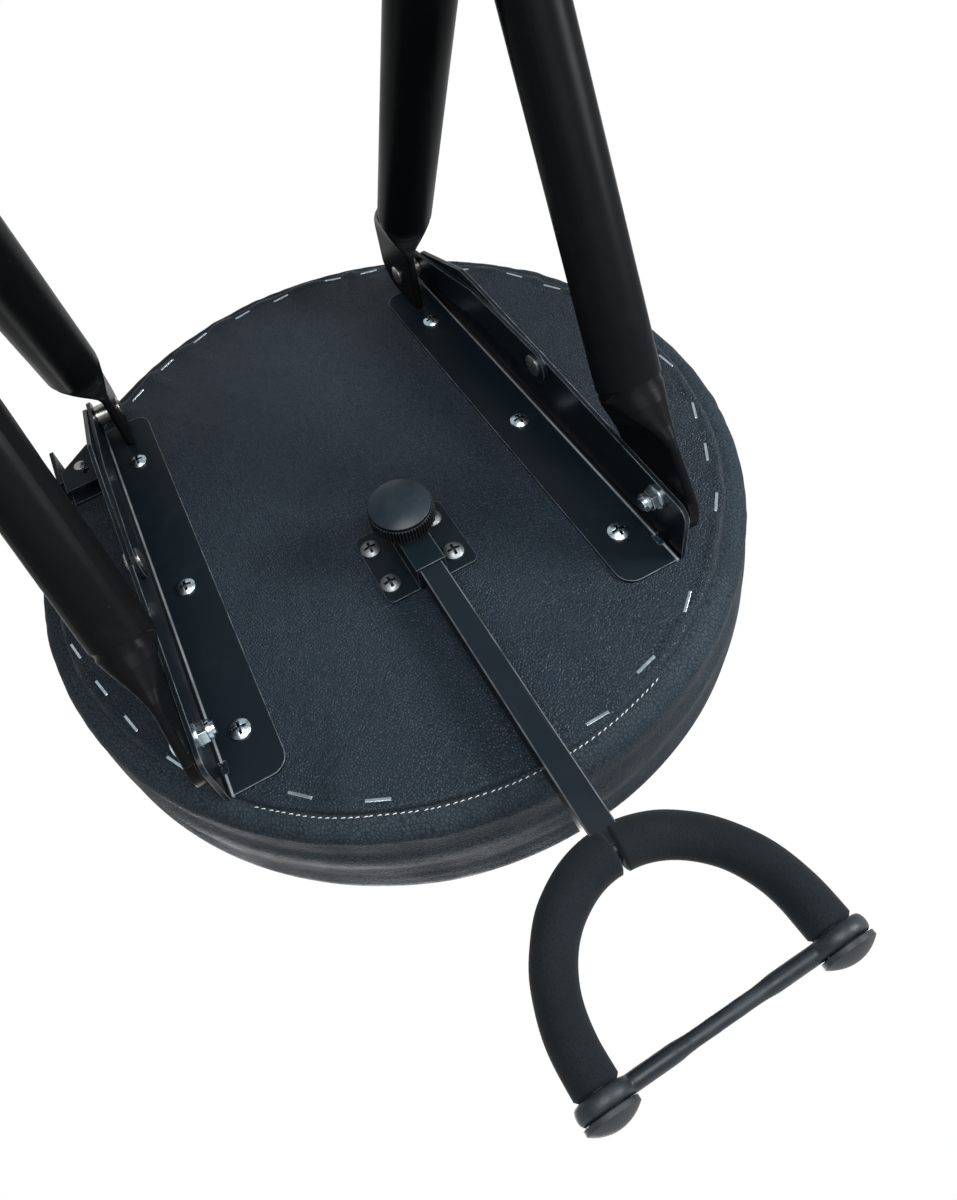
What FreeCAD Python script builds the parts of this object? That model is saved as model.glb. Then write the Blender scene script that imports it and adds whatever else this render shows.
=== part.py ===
import FreeCAD, Part
import math
import os

from FreeCAD import Vector

# Folding guitar stool: a round padded seat on two crossing tube frames, with a slide-out hanger for a neck.
# Frame: +X to the front, where the hanger points, +Y to the sitter's left, +Z up, the feet stand on z = 0.
# Plates and pins under the seat are placed by x, y and their depth below the seat's underside. Millimetres.

# Overall places
under_height = 550.0
seat_x = 13.2
seat_shift_y = -10.5

# Seat
seat_radius = 166.0
seat_thickness = 74.0
rim_radius = 7.0
rim_inset = 2.0
shoulder_drop = 22.0
crown_drop = 6.5
vinyl = 1.0
soft_gap = 0.3
board_thickness = 12.0
bottom_cover_inset = 3.5
hem_width = 20.0

# Staples round the edge of the bottom cover
staple_inset = 3.5
staple_count = 33
staple_start_angle = 23.4
staple_end_angle = 350.4
staple_scatter = 1.3
staple_tilt = 9.0
staple_crown = 9.5
staple_wire = 0.6
staple_width = 1.1
staple_leg = 8.0

# Rails
rail_far_x = -105.0
rail_near_x = 111.5
rail_half_gap = 72.5
flange_width = 27.0
rail_thickness = 2.0
rail_corner = 7.0
rail_bend_radius = 1.5
web_far_height = 20.0
web_far_rise = 4.0
web_peak_height = 40.0
web_peak_x = -50.0
web_peak_length = 12.0
web_peak_round = 8.0
web_slope_length = 46.0
web_near_height = 30.0
web_near_round = 6.0
relief_x = 97.5
relief_length = 5.0
relief_width = 2.9
relief_slit = 0.8
rail_screw_x = (-72.5, 14.5, 89.0)

# Screws
screw_shank_radius = 2.0
screw_length = 11.0
screw_head_radius = 4.4
screw_head_height = 2.6
recess_width = 1.2
recess_depth = 1.4
screw_hole_clearance = 0.2

# Pivots of the folding linkage: x from the seat's centre, depth below its underside
seat_pivot_x = 95.0
seat_pivot_depth = 23.7
link_pivot_x = 12.5
link_pivot_depth = 30.5
leg_pivot_x = -105.0
leg_pivot_depth = 14.0
link_bend_x = -41.0
link_bend_depth = 29.5
link_half_width = 8.5
link_thickness = 2.0
side_gap = 0.3
running_gap = 0.05

# Pivot hardware
rivet_radius = 3.0
rivet_head_radius = 5.2
rivet_head_height = 1.8
leg_bush_radius = 5.5
leg_bush_length = 8.0
seat_bolt_radius = 2.5
seat_bolt_head_radius = 4.8
seat_bolt_head_height = 3.0
washer_radius = 5.0
washer_thickness = 1.0
seat_nut_flats = 8.0
seat_nut_height = 5.0
bolt_radius = 3.0
bolt_head_radius = 5.6
bolt_head_height = 3.6
nut_flats = 10.0
nut_height = 6.0
bolt_end = 1.2

# Leg frames
inner_tube_radius = 14.0
outer_tube_radius = 12.5
tube_wall = 1.5
flat_half_thickness = 2.0
flat_length = 22.0
taper_length = 20.0
taper_steps = 6
inner_lean = 25.0
outer_lean = 33.5
inner_heel = 15.0
outer_heel = 7.0
inner_press = 8.0
outer_press = 1.5
leg_stop_gap = 0.4
heel_round = 18.0
toe_round = 4.0
cross_gap = 3.7
cross_spacer_radius = 7.0
footrest_height = 150.0
brace_height = 95.0
crossbar_radius = 11.0
crossbar_wall = 1.5
cap_wall = 2.6
cap_length = 38.0
cap_sole = 6.0
cap_fit = 0.1
cap_bead = 1.4
cap_bead_length = 5.0

# Hanger clamp
clamp_back_x = 33.0
clamp_front_x = 70.0
clamp_half_width = 21.0
clamp_plate = 2.0
clamp_corner = 3.0
clamp_screw_x = (41.3, 61.3)
clamp_screw_right = 13.6
clamp_screw_left = 16.3
sleeve_wall = 1.4
clamp_nut_height = 5.0
knob_x = 47.0
knob_radius = 13.8
knob_height = 12.0
knob_lift = 0.8
knob_band = 7.0
knurl_count = 64
knurl_depth = 0.8

# Hanger bar and yoke
bar_side = 10.0
bar_edge = 0.8
bar_slip = 0.15
bar_tail_x = 31.0
yoke_radius = 40.0
yoke_centre_x = 230.0
yoke_rod_radius = 4.0
yoke_skew = 3.0
arm_length = 7.0
foam_radius = 7.4
foam_fit = 0.1
foam_bar_gap = 0.4
foam_slit = 2.4
neck_radius = 6.0
neck_length = 5.4
cap_head_radius = 8.8
cap_head_height = 4.0
strap_ring_wall = 3.0
strap_width = 5.0
strap_thick = 7.4
strap_thin = 4.6
strap_thick_length = 16.0
strap_taper_length = 7.0
strap_gap = 0.3

# Catch outside the left rail
lock_far_x = -72.0
lock_near_x = -47.0
lock_depth = 28.0
lock_height = 11.0
lock_reach = 18.0
lock_slant = 12.0
lock_plate = 1.6
pin_radius = 1.5
pin_head_radius = 2.8
pin_head_height = 1.0
lever_pivot_x = -60.0
lever_pivot_out = 8.5
lever_eye_radius = 4.5
lever_thickness = 2.0
lever_slip = 0.3
tongue_x = -56.0
tongue_width = 6.0
tongue_swing = 3.2
lever_arm_width = 7.0
thumb_tab_out = 19.5
thumb_tab_far_x = -80.0
thumb_tab_height = 13.0
notch_x = -55.0
notch_out = 6.2
notch_size = 3.6
spring_coil_radius = 2.8
spring_wire = 0.45
spring_turns = 3

# Places worked out from the sizes above
SIDES = (("right", -1), ("left", 1))
Y_AXIS = Vector(0, 1, 0)
Z_AXIS = Vector(0, 0, 1)
web_in = rail_half_gap + flange_width - rail_thickness
web_out = web_in + rail_thickness
link_out = web_in - side_gap
link_in = link_out - link_thickness
inner_flat_out = link_in - side_gap - leg_bush_length
inner_flat_y = inner_flat_out - flat_half_thickness
inner_flat_in = inner_flat_out - 2 * flat_half_thickness
outer_flat_in = web_out + side_gap
outer_flat_y = outer_flat_in + flat_half_thickness
outer_flat_out = outer_flat_in + 2 * flat_half_thickness
screw_hole_radius = screw_shank_radius + screw_hole_clearance
hem_base = vinyl + soft_gap
board_base = hem_base + vinyl + soft_gap
flat_radius = seat_radius - rim_inset - rim_radius
bottom_cover_radius = flat_radius - bottom_cover_inset
staple_ring_radius = bottom_cover_radius - staple_inset
board_radius = flat_radius - vinyl - soft_gap
bar_depth = clamp_plate + sleeve_wall + bar_slip + bar_side / 2
sleeve_half = bar_side / 2 + bar_slip + sleeve_wall
sleeve_depth = clamp_plate + 2 * sleeve_half
arm_end_x = yoke_centre_x + arm_length


def at(x, y, depth):
    """Point at x from the seat's centre, y from the frame's middle and a depth below the seat's underside."""
    return Vector(seat_x + x, y, under_height - depth)


def seat_at(x, y, depth):
    """The same, with y from the middle of the seat, which sits a little to the right of the frame."""
    return at(x, seat_shift_y + y, depth)


def block(corner, opposite):
    """Box between two opposite corners."""
    low = Vector(min(corner.x, opposite.x), min(corner.y, opposite.y), min(corner.z, opposite.z))
    high = Vector(max(corner.x, opposite.x), max(corner.y, opposite.y), max(corner.z, opposite.z))
    size = high - low
    return Part.makeBox(size.x, size.y, size.z, low)


def rod(start, end, radius):
    """Round rod between two points."""
    return Part.makeCylinder(radius, (end - start).Length, start, end - start)


def cross_pin(x, depth, side, inner, outer, radius):
    """Round pin along Y between two distances from the frame's middle."""
    return rod(at(x, side * inner, depth), at(x, side * outer, depth), radius)


def plate(points, side, inner, outer):
    """Upright plate with an outline of (x, depth) points, between two distances from the frame's middle."""
    corners = [at(x, side * inner, depth) for x, depth in points]
    face = Part.Face(Part.makePolygon(corners + corners[:1]))
    return face.extrude(Vector(0, side * (outer - inner), 0))


def strip(start, end, half_width, side, inner, outer):
    """Upright plate with round ends between two (x, depth) points."""
    run = Vector(end[0] - start[0], end[1] - start[1], 0)
    across = Vector(-run.y, run.x, 0).normalize() * half_width
    outline = [(start[0] + across.x, start[1] + across.y), (end[0] + across.x, end[1] + across.y),
               (end[0] - across.x, end[1] - across.y), (start[0] - across.x, start[1] - across.y)]
    body = plate(outline, side, inner, outer)
    for x, depth in (start, end):
        body = body.fuse(cross_pin(x, depth, side, inner, outer, half_width))
    return body.removeSplitter()


def turned(outline, centre):
    """Solid of revolution about the vertical through centre: the outline is edges in the XZ plane."""
    face = Part.Face(Part.Wire(outline))
    return face.revolve(centre, Z_AXIS, 360)


def hexagon(centre, axis, flats, height):
    """Hexagonal prism standing on centre along axis."""
    direction = Vector(axis).normalize()
    spoke = Vector(1, 0, 0) if abs(direction.x) < 0.5 else Z_AXIS
    turn = FreeCAD.Rotation(direction, 60)
    corners = []
    point = spoke * (flats / math.sqrt(3))
    for _ in range(6):
        corners.append(centre + point)
        point = turn.multVec(point)
    face = Part.Face(Part.makePolygon(corners + corners[:1]))
    return face.extrude(direction * height)


def dome_head(centre, axis, radius, height):
    """Low domed head standing on centre along axis: a ball's cap on a thin rim."""
    direction = Vector(axis).normalize()
    spoke = Vector(1, 0, 0) if abs(direction.x) < 0.5 else Y_AXIS
    rim = 0.35 * height
    rise = height - rim
    ball = (radius * radius + rise * rise) / (2 * rise)
    foot = centre + spoke * radius
    shoulder = foot + direction * rim
    half = spoke * (radius / 2)
    half_rise = math.sqrt(ball * ball - radius * radius / 4) - ball
    on_dome = centre + half + direction * (height + half_rise)
    apex = centre + direction * height
    outline = Part.Wire([Part.makeLine(centre, foot), Part.makeLine(foot, shoulder),
                         Part.Arc(shoulder, on_dome, apex).toShape(), Part.makeLine(apex, centre)])
    return Part.Face(outline).revolve(centre, direction, 360)


def export(name, shape):
    """Write one piece as a STEP file."""
    shape.exportStep(os.path.join("parts", name + ".step"))


# Seat

def cover_profile(inset):
    """Points of the seat's half section from the hem to the crown, moved in by inset."""
    radius = seat_radius - inset
    base = under_height + hem_base + inset
    rim_x = radius - rim_inset
    shoulder_z = under_height + seat_thickness - shoulder_drop - inset
    top_z = under_height + seat_thickness - inset
    corner = (1 - math.sqrt(0.5)) * rim_radius
    edge_x = radius - 0.75 * shoulder_drop
    edge_rise = 0.68 * (shoulder_drop - crown_drop)
    ball = (edge_x * edge_x + crown_drop * crown_drop) / (2 * crown_drop)
    half_drop = ball - math.sqrt(ball * ball - edge_x * edge_x / 4)
    return {
        "hem": Vector(board_radius - hem_width, 0, base),
        "rim_start": Vector(rim_x - rim_radius, 0, base),
        "rim_mid": Vector(rim_x - corner, 0, base + corner),
        "rim_end": Vector(rim_x, 0, base + rim_radius),
        "side_mid": Vector(radius - 0.6, 0, (base + rim_radius + shoulder_z) / 2),
        "shoulder": Vector(radius, 0, shoulder_z),
        "edge_mid": Vector(radius - 0.22 * shoulder_drop, 0, shoulder_z + edge_rise),
        "edge": Vector(edge_x, 0, top_z - crown_drop),
        "crown_mid": Vector(edge_x / 2, 0, top_z - half_drop),
        "crown": Vector(0, 0, top_z),
    }


def cover_edges(points):
    """Edges of the half section from the rim's start up to the crown."""
    return [Part.Arc(points["rim_start"], points["rim_mid"], points["rim_end"]).toShape(),
            Part.Arc(points["rim_end"], points["side_mid"], points["shoulder"]).toShape(),
            Part.Arc(points["shoulder"], points["edge_mid"], points["edge"]).toShape(),
            Part.Arc(points["edge"], points["crown_mid"], points["crown"]).toShape()]


def seat_solid(inset):
    """Solid cushion shape, flat below, moved in by inset."""
    points = cover_profile(inset)
    axis_foot = Vector(0, 0, points["rim_start"].z)
    outline = cover_edges(points)
    outline.append(Part.makeLine(points["crown"], axis_foot))
    outline.append(Part.makeLine(axis_foot, points["rim_start"]))
    return turned(outline, Vector(0, 0, 0))


def seat_disc(radius, base, height):
    """Flat disc of the seat, base and height measured up from the underside."""
    return Part.makeCylinder(radius, height, Vector(0, 0, under_height + base))


def place_seat(shape):
    """Move a piece made about the Z axis to the middle of the seat."""
    shape.translate(Vector(seat_x, seat_shift_y, 0))
    return shape


def seat_pieces():
    """Board, foam pad, vinyl cover and bottom cover."""
    hem_opening = seat_disc(board_radius - hem_width, hem_base - vinyl, 3 * vinyl)
    cover = seat_solid(0).cut(seat_solid(vinyl)).cut(hem_opening)
    for x, y in rail_screw_places() + clamp_screw_places():
        cover = cover.cut(Part.makeCylinder(screw_hole_radius, board_base,
                                            Vector(x, y - seat_shift_y, under_height)))
    board = seat_disc(board_radius, board_base, board_thickness)
    board_room = seat_disc(board_radius + soft_gap, 0, board_base + board_thickness + soft_gap)
    pad = seat_solid(vinyl + soft_gap).cut(board_room)
    bottom = seat_disc(bottom_cover_radius, 0, vinyl)
    return {"seat_cover": cover, "seat_board": board, "seat_pad": pad, "bottom_cover": bottom}


def rail_screw_places():
    """Where the rail screws go into the seat, along the middle of each flange."""
    return [(x, side * (rail_half_gap + (flange_width - rail_thickness) / 2))
            for _, side in SIDES for x in rail_screw_x]


def clamp_screw_places():
    """Where the clamp's screws go into the seat."""
    return [(x, seat_shift_y + y) for y in (-clamp_screw_right, clamp_screw_left) for x in clamp_screw_x]


def under_rail(angle):
    """Whether a staple at this angle round the seat would lie where a rail is screwed on."""
    room = staple_crown
    x = staple_ring_radius * math.cos(math.radians(angle))
    y = seat_shift_y + staple_ring_radius * math.sin(math.radians(angle))
    along = rail_far_x - room < x < rail_near_x + room
    return along and rail_half_gap - room < abs(y) < web_out + room


def staples():
    """Staples round the bottom cover, driven a little unevenly, none over the hanger bar or under a rail."""
    step = (staple_end_angle - staple_start_angle) / (staple_count - 1)
    crown = Part.makeBox(staple_width, staple_crown, staple_wire,
                         Vector(-staple_width / 2, -staple_crown / 2, -staple_wire))
    leg_offset = staple_crown / 2 - staple_wire
    one = crown
    for start in (-staple_crown / 2, leg_offset):
        one = one.fuse(Part.makeBox(staple_width, staple_wire, staple_leg,
                                    Vector(-staple_width / 2, start, 0)))
    one = one.removeSplitter()
    made = []
    for index in range(staple_count):
        angle = staple_start_angle + index * step
        if under_rail(angle):
            continue
        sway = math.sin(2.4 * index * index)
        piece = one.copy()
        piece.rotate(Vector(0, 0, 0), Z_AXIS, staple_tilt * sway)
        piece.translate(Vector(staple_ring_radius - staple_scatter * math.sin(1.7 * index), 0, under_height))
        piece.rotate(Vector(0, 0, 0), Z_AXIS, angle + staple_scatter * sway)
        made.append(piece)
    return Part.makeCompound(made)


def wood_screw(x, y, depth):
    """Pan-head cross-recess screw pointing up into the seat from a plate's face at depth."""
    seat = at(x, y, depth)
    down = Vector(0, 0, -1)
    head = dome_head(seat, down, screw_head_radius, screw_head_height)
    face = seat + down * screw_head_height
    for length, width in ((1, 0), (0, 1)):
        half = Vector(recess_width / 2 + length * 0.5 * screw_head_radius,
                      recess_width / 2 + width * 0.5 * screw_head_radius, 0)
        head = head.cut(block(face - half, face + half + Vector(0, 0, recess_depth)))
    shank = rod(seat, seat + Z_AXIS * (screw_length - screw_shank_radius), screw_shank_radius)
    tip = Part.makeCone(screw_shank_radius, 0.2, screw_shank_radius,
                        seat + Z_AXIS * (screw_length - screw_shank_radius), Z_AXIS)
    return head.fuse([shank, tip]).removeSplitter()


# Rails, links and their pivots

def web_outline():
    """Side view of a rail's standing web, as (x, depth) points."""
    return [(rail_far_x, 0), (rail_far_x, web_far_height),
            (web_peak_x - web_peak_length / 2 - web_slope_length, web_far_height + web_far_rise),
            (web_peak_x - web_peak_length / 2, web_peak_height),
            (web_peak_x + web_peak_length / 2, web_peak_height),
            (rail_near_x, web_near_height), (rail_near_x, 0)]


def rounded_corners(body, places, radius):
    """Round the edges along Y that stand at the given (x, depth) places."""
    edges = []
    for x, depth in places:
        for edge in body.Edges:
            middle = edge.CenterOfMass - at(x, 0, depth)
            along_y = abs(edge.tangentAt(edge.FirstParameter).y) > 0.99
            if along_y and abs(middle.x) < 0.01 and abs(middle.z) < 0.01:
                edges.append(edge)
    return body.makeFillet(radius, edges)


def rounded_bend(body, y, depth, radius):
    """Round the long edge of a rail's bend at y and a depth."""
    edges = [edge for edge in body.Edges if edge.Length > 0.9 * (rail_near_x - rail_far_x)
             and abs(edge.CenterOfMass.y - y) < 0.01
             and abs(edge.CenterOfMass.z - under_height + depth) < 0.01]
    return body.makeFillet(radius, edges)


def rail(side):
    """L-section rail: a flange screwed to the seat, a web with the pivots, the bend relieved in front."""
    flange = block(at(rail_far_x, side * rail_half_gap, 0), at(rail_near_x, side * web_out, rail_thickness))
    corners = [edge for edge in flange.Edges if edge.Length < 1.5 * rail_thickness
               and abs(edge.CenterOfMass.y - side * rail_half_gap) < 0.01]
    flange = flange.makeFillet(rail_corner, corners)
    outline = web_outline()
    web = rounded_corners(plate(outline, side, web_in, web_out), outline[5:6], web_near_round)
    web = rounded_corners(web, outline[3:5], web_peak_round)
    body = flange.fuse(web).removeSplitter()
    body = rounded_bend(body, side * web_in, rail_thickness, rail_bend_radius)
    body = rounded_bend(body, side * web_out, 0, rail_bend_radius + rail_thickness)
    relief_depth = rail_thickness + rail_bend_radius + 1
    for near_x, width in ((relief_x + relief_length, relief_width), (rail_near_x + 1, relief_slit)):
        body = body.cut(block(at(relief_x, side * (web_in - width), -1),
                              at(near_x, side * web_in, relief_depth)))
    for x, y in rail_screw_places():
        body = body.cut(rod(at(x, y, -1), at(x, y, rail_thickness + 1), screw_hole_radius))
    body = body.cut(cross_pin(seat_pivot_x, seat_pivot_depth, side, web_in - 1, web_out + 1,
                              seat_bolt_radius + running_gap))
    return body.cut(cross_pin(link_pivot_x, link_pivot_depth, side, web_in - 1, web_out + 1, rivet_radius))


def link(side):
    """Dog-leg plate from the rail's link pivot to the inner leg's end."""
    bend = (link_bend_x, link_bend_depth)
    body = strip((link_pivot_x, link_pivot_depth), bend, link_half_width, side, link_in, link_out)
    body = body.fuse(strip(bend, (leg_pivot_x, leg_pivot_depth), link_half_width, side, link_in, link_out))
    body = body.removeSplitter()
    body = body.cut(cross_pin(link_pivot_x, link_pivot_depth, side, link_in - 1, link_out + 1,
                              rivet_radius + running_gap))
    return body.cut(cross_pin(leg_pivot_x, leg_pivot_depth, side, link_in - 1, link_out + 1, rivet_radius))


def rail_rivet(side):
    """Rivet that holds the link on the rail's web, with a head on each side."""
    shank = cross_pin(link_pivot_x, link_pivot_depth, side, link_in - running_gap, web_out, rivet_radius)
    inner = dome_head(at(link_pivot_x, side * (link_in - running_gap), link_pivot_depth), Vector(0, -side, 0),
                      rivet_head_radius, rivet_head_height)
    outer = dome_head(at(link_pivot_x, side * web_out, link_pivot_depth), Vector(0, side, 0),
                      rivet_head_radius, rivet_head_height)
    return shank.fuse([inner, outer]).removeSplitter()


def link_stud(side):
    """The link's half of the rivet at the inner leg, flush because it passes inside the rail's web."""
    return cross_pin(leg_pivot_x, leg_pivot_depth, side, link_in, link_out, rivet_radius)


def leg_rivet(side):
    """The leg's half of that rivet: a head on the leg's inner face and a shank flush with the bush."""
    shank = cross_pin(leg_pivot_x, leg_pivot_depth, side, inner_flat_in, inner_flat_out + leg_bush_length,
                      rivet_radius)
    head = dome_head(at(leg_pivot_x, side * inner_flat_in, leg_pivot_depth), Vector(0, -side, 0),
                     rivet_head_radius, rivet_head_height)
    return shank.fuse(head).removeSplitter()


def leg_bush(side):
    """Bush on that rivet between the leg and the link."""
    ring = cross_pin(leg_pivot_x, leg_pivot_depth, side, inner_flat_out, inner_flat_out + leg_bush_length,
                     leg_bush_radius)
    return ring.cut(cross_pin(leg_pivot_x, leg_pivot_depth, side, inner_flat_out - 1,
                              inner_flat_out + leg_bush_length + 1, rivet_radius))


def pivot_bolt(side):
    """Bolt through the outer leg's flattened end and the rail's web."""
    head_seat = outer_flat_out + running_gap + washer_thickness
    end = web_in - washer_thickness - seat_nut_height - bolt_end
    shank = cross_pin(seat_pivot_x, seat_pivot_depth, side, end, head_seat, seat_bolt_radius)
    head = dome_head(at(seat_pivot_x, side * head_seat, seat_pivot_depth), Vector(0, side, 0),
                     seat_bolt_head_radius, seat_bolt_head_height)
    return shank.fuse(head).removeSplitter()


def ring_on_pivot(side, inner, outer, hole):
    """Washer on the seat pivot between two distances from the frame's middle."""
    ring = cross_pin(seat_pivot_x, seat_pivot_depth, side, inner, outer, washer_radius)
    return ring.cut(cross_pin(seat_pivot_x, seat_pivot_depth, side, inner - 1, outer + 1, hole))


def pivot_washers(side):
    """One washer under the bolt's head and one under the nut."""
    hole = seat_bolt_radius + running_gap
    face = outer_flat_out + running_gap
    outer = ring_on_pivot(side, face, face + washer_thickness, hole)
    inner = ring_on_pivot(side, web_in - washer_thickness, web_in, hole)
    return [outer, inner]


def lock_nut(place, side, face, size):
    """Self-locking nut pointing to the frame's middle from a face: a hexagon with a round collar."""
    x, depth = place
    flats, height, hole = size
    inward = Vector(0, -side, 0)
    seat = at(x, side * face, depth)
    collar_height = 0.35 * height
    nut = hexagon(seat, inward, flats, height - collar_height)
    collar = Part.makeCylinder(0.46 * flats, collar_height, seat + inward * (height - collar_height), inward)
    nut = nut.fuse(collar).removeSplitter()
    return nut.cut(cross_pin(x, depth, side, face - height - 1, face + 1, hole))


# Leg frames

class Leg:
    """One tube leg: its pressed end at the pivot, and the tube that leaves it on a line of its own."""

    def __init__(self, side, radius, pivot, flat_y, flat_lean):
        self.side = side
        self.radius = radius
        self.pivot = at(pivot[0], side * flat_y, pivot[1])
        self.flat_run = Vector(math.sin(math.radians(flat_lean)), 0, -math.cos(math.radians(flat_lean)))
        self.flat_across = Vector(-self.flat_run.z, 0, self.flat_run.x)
        self.flat_half = math.pi * (radius - flat_half_thickness) / 2

    def lay_tube(self, heel, press, lean, splay):
        """Set the tube's middle line: heel behind the pivot, press outside its end, leaning and splayed."""
        self.start = self.pivot + Vector(-heel, self.side * press, 0)
        self.run = Vector(math.sin(math.radians(lean)), 0, -math.cos(math.radians(lean)))
        self.out = Vector(0, self.side * splay, 0)
        self.across = Vector(-self.run.z, 0, self.run.x)
        drop = self.start.z - cap_sole - self.radius * abs(self.run.x)
        self.length = drop / -self.run.z
        return self

    def centre(self, distance):
        """Point on the tube's middle line, distance measured along the leg from beside its pivot."""
        bend = max(0.0, distance - flat_length)
        return self.start + self.run * distance + self.out * bend

    def distance_at_height(self, height):
        """Distance along the leg where its middle line is at a height above the floor."""
        return (self.start.z - height) / -self.run.z

    def round_wire(self, distance, radius):
        """Round section in four arcs."""
        centre = self.centre(distance)
        spokes = [self.across * (radius * math.cos(math.radians(45 * k)))
                  + Y_AXIS * (radius * math.sin(math.radians(45 * k))) for k in range(1, 9)]
        points = [centre + spoke for spoke in spokes]
        arcs = [Part.Arc(points[k], points[k + 1], points[(k + 2) % 8]).toShape() for k in (0, 2, 4, 6)]
        return Part.Wire(arcs)

    def oval_wire(self, centre, across, half_thickness, half_length):
        """Section with two straight sides joined by half rounds."""
        along = across * half_length
        bulge = across * (half_length + half_thickness)
        thick = Y_AXIS * half_thickness
        corners = [centre + along + thick, centre - along + thick,
                   centre - along - thick, centre + along - thick]
        return Part.Wire([Part.makeLine(corners[0], corners[1]),
                          Part.Arc(corners[1], centre - bulge, corners[2]).toShape(),
                          Part.makeLine(corners[2], corners[3]),
                          Part.Arc(corners[3], centre + bulge, corners[0]).toShape()])

    def flat_wire(self, centre, half_thickness, half_length):
        """Pressed section square to the flat end."""
        return self.oval_wire(centre, self.flat_across, half_thickness, half_length)

    def taper_centre(self, share):
        """Middle line of the taper, which leaves the flat end along it and meets the tube along it."""
        first = self.pivot + self.flat_run * flat_length
        last = self.centre(flat_length + taper_length)
        reach = (last - first).Length
        ease = share * share * (3 - 2 * share)
        leaving = self.flat_run * (reach * share * (1 - share) ** 2)
        meeting = (self.run + self.out).normalize() * (reach * share * share * (1 - share))
        return first + (last - first) * ease + leaving - meeting

    def taper_wire(self, share):
        """Section of the taper with the tube's girth, flat at 0 and nearly round towards 1."""
        ease = share * share * (3 - 2 * share)
        half_thickness = flat_half_thickness + (self.radius - flat_half_thickness) * ease
        across = (self.flat_across * (1 - ease) + self.across * ease).normalize()
        half_length = math.pi * (self.radius - half_thickness) / 2
        return self.oval_wire(self.taper_centre(share), across, half_thickness, half_length)

    def tube(self, start, end, radius):
        """Solid round stretch of the leg."""
        return Part.Face(self.round_wire(start, radius)).extrude(self.centre(end) - self.centre(start))

    def outside(self):
        """Solids of the leg's outer shape from the pressed end to the foot."""
        round_start = flat_length + taper_length
        sections = [self.taper_wire(step / taper_steps) for step in range(taper_steps)]
        taper = Part.makeLoft(sections + [self.round_wire(round_start, self.radius)], True, True)
        return [taper, self.tube(round_start, self.length, self.radius)]

    def bore(self):
        """Solid of the hollow inside the tube."""
        round_start = flat_length + taper_length
        flat_stop = self.pivot + self.flat_run * flat_length
        throat_centre = flat_stop + (self.centre(round_start) - flat_stop) * 0.2
        throat = self.flat_wire(throat_centre, 0.3 * flat_half_thickness, 0.7 * self.flat_half)
        radius = self.radius - tube_wall
        taper = Part.makeLoft([throat, self.round_wire(round_start, radius)], True, True)
        return taper.fuse(self.tube(round_start, self.length + 1, radius))

    def flat_end(self, beyond):
        """Pressed end, reaching past the pivot by a distance."""
        tip = self.pivot - self.flat_run * beyond
        face = Part.Face(self.flat_wire(tip, flat_half_thickness, self.flat_half))
        return face.extrude(self.flat_run * (flat_length + beyond))

    def foot_cap(self):
        """Rubber cap over the foot with a bead round its mouth, cut flat on the floor."""
        mouth = self.length - cap_length
        outer = self.tube(mouth, self.length + 4 * self.radius, self.radius + cap_wall)
        bead = self.tube(mouth, mouth + cap_bead_length, self.radius + cap_wall + cap_bead)
        inner = self.tube(mouth - 1, self.length, self.radius + cap_fit)
        floor = block(Vector(-2 * under_height, -2 * under_height, -under_height),
                      Vector(2 * under_height, 2 * under_height, 0))
        return outer.fuse(bead).removeSplitter().cut(inner).cut(floor)


def crossing():
    """Where the two tubes' middle lines cross in side view, and the distance of that point along each leg."""
    inner = Vector(math.sin(math.radians(inner_lean)), math.cos(math.radians(inner_lean)), 0)
    outer = Vector(-math.sin(math.radians(outer_lean)), math.cos(math.radians(outer_lean)), 0)
    inner_x = leg_pivot_x - inner_heel
    gap = Vector(seat_pivot_x - outer_heel - inner_x, seat_pivot_depth - leg_pivot_depth, 0)
    turn = inner.x * outer.y - inner.y * outer.x
    along_inner = (gap.x * outer.y - gap.y * outer.x) / turn
    along_outer = (gap.x * inner.y - gap.y * inner.x) / turn
    return (inner_x + inner.x * along_inner, leg_pivot_depth + inner.y * along_inner, along_outer)


cross_x, cross_depth, cross_along_outer = crossing()
cross_inner_y = inner_flat_y + inner_press
cross_outer_y = cross_inner_y + inner_tube_radius + outer_tube_radius + cross_gap
outer_splay = (cross_outer_y - outer_flat_y - outer_press) / (cross_along_outer - flat_length)
leg_stop_depth = rail_thickness + leg_stop_gap


def inner_leg(side):
    """The leg that hangs on the link; its pressed end is upright and stands on the rail's flange."""
    leg = Leg(side, inner_tube_radius, (leg_pivot_x, leg_pivot_depth), inner_flat_y, 0.0)
    return leg.lay_tube(inner_heel, inner_press, inner_lean, 0.0)


def outer_leg(side):
    """The leg on the seat pivot, splayed so that it passes outside the inner one."""
    leg = Leg(side, outer_tube_radius, (seat_pivot_x, seat_pivot_depth), outer_flat_y, -outer_lean)
    return leg.lay_tube(outer_heel, outer_press, -outer_lean, outer_splay)


def joined(leg, end):
    """Hollow leg: pressed end, taper and tube in one piece."""
    body = end
    for piece in leg.outside():
        body = body.fuse(piece)
    return body.removeSplitter().cut(leg.bore())


def round_off(side, edge_x, toward, radius):
    """What is cut off to round a corner of the inner leg's level end, at edge_x, the leg lying toward it."""
    corner = block(at(edge_x - toward, side * (inner_flat_in - 1), leg_stop_depth - 1),
                   at(edge_x + toward * radius, side * (inner_flat_out + 1), leg_stop_depth + radius))
    return corner.cut(cross_pin(edge_x + toward * radius, leg_stop_depth + radius, side, inner_flat_in - 2,
                                inner_flat_out + 2, radius))


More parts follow.
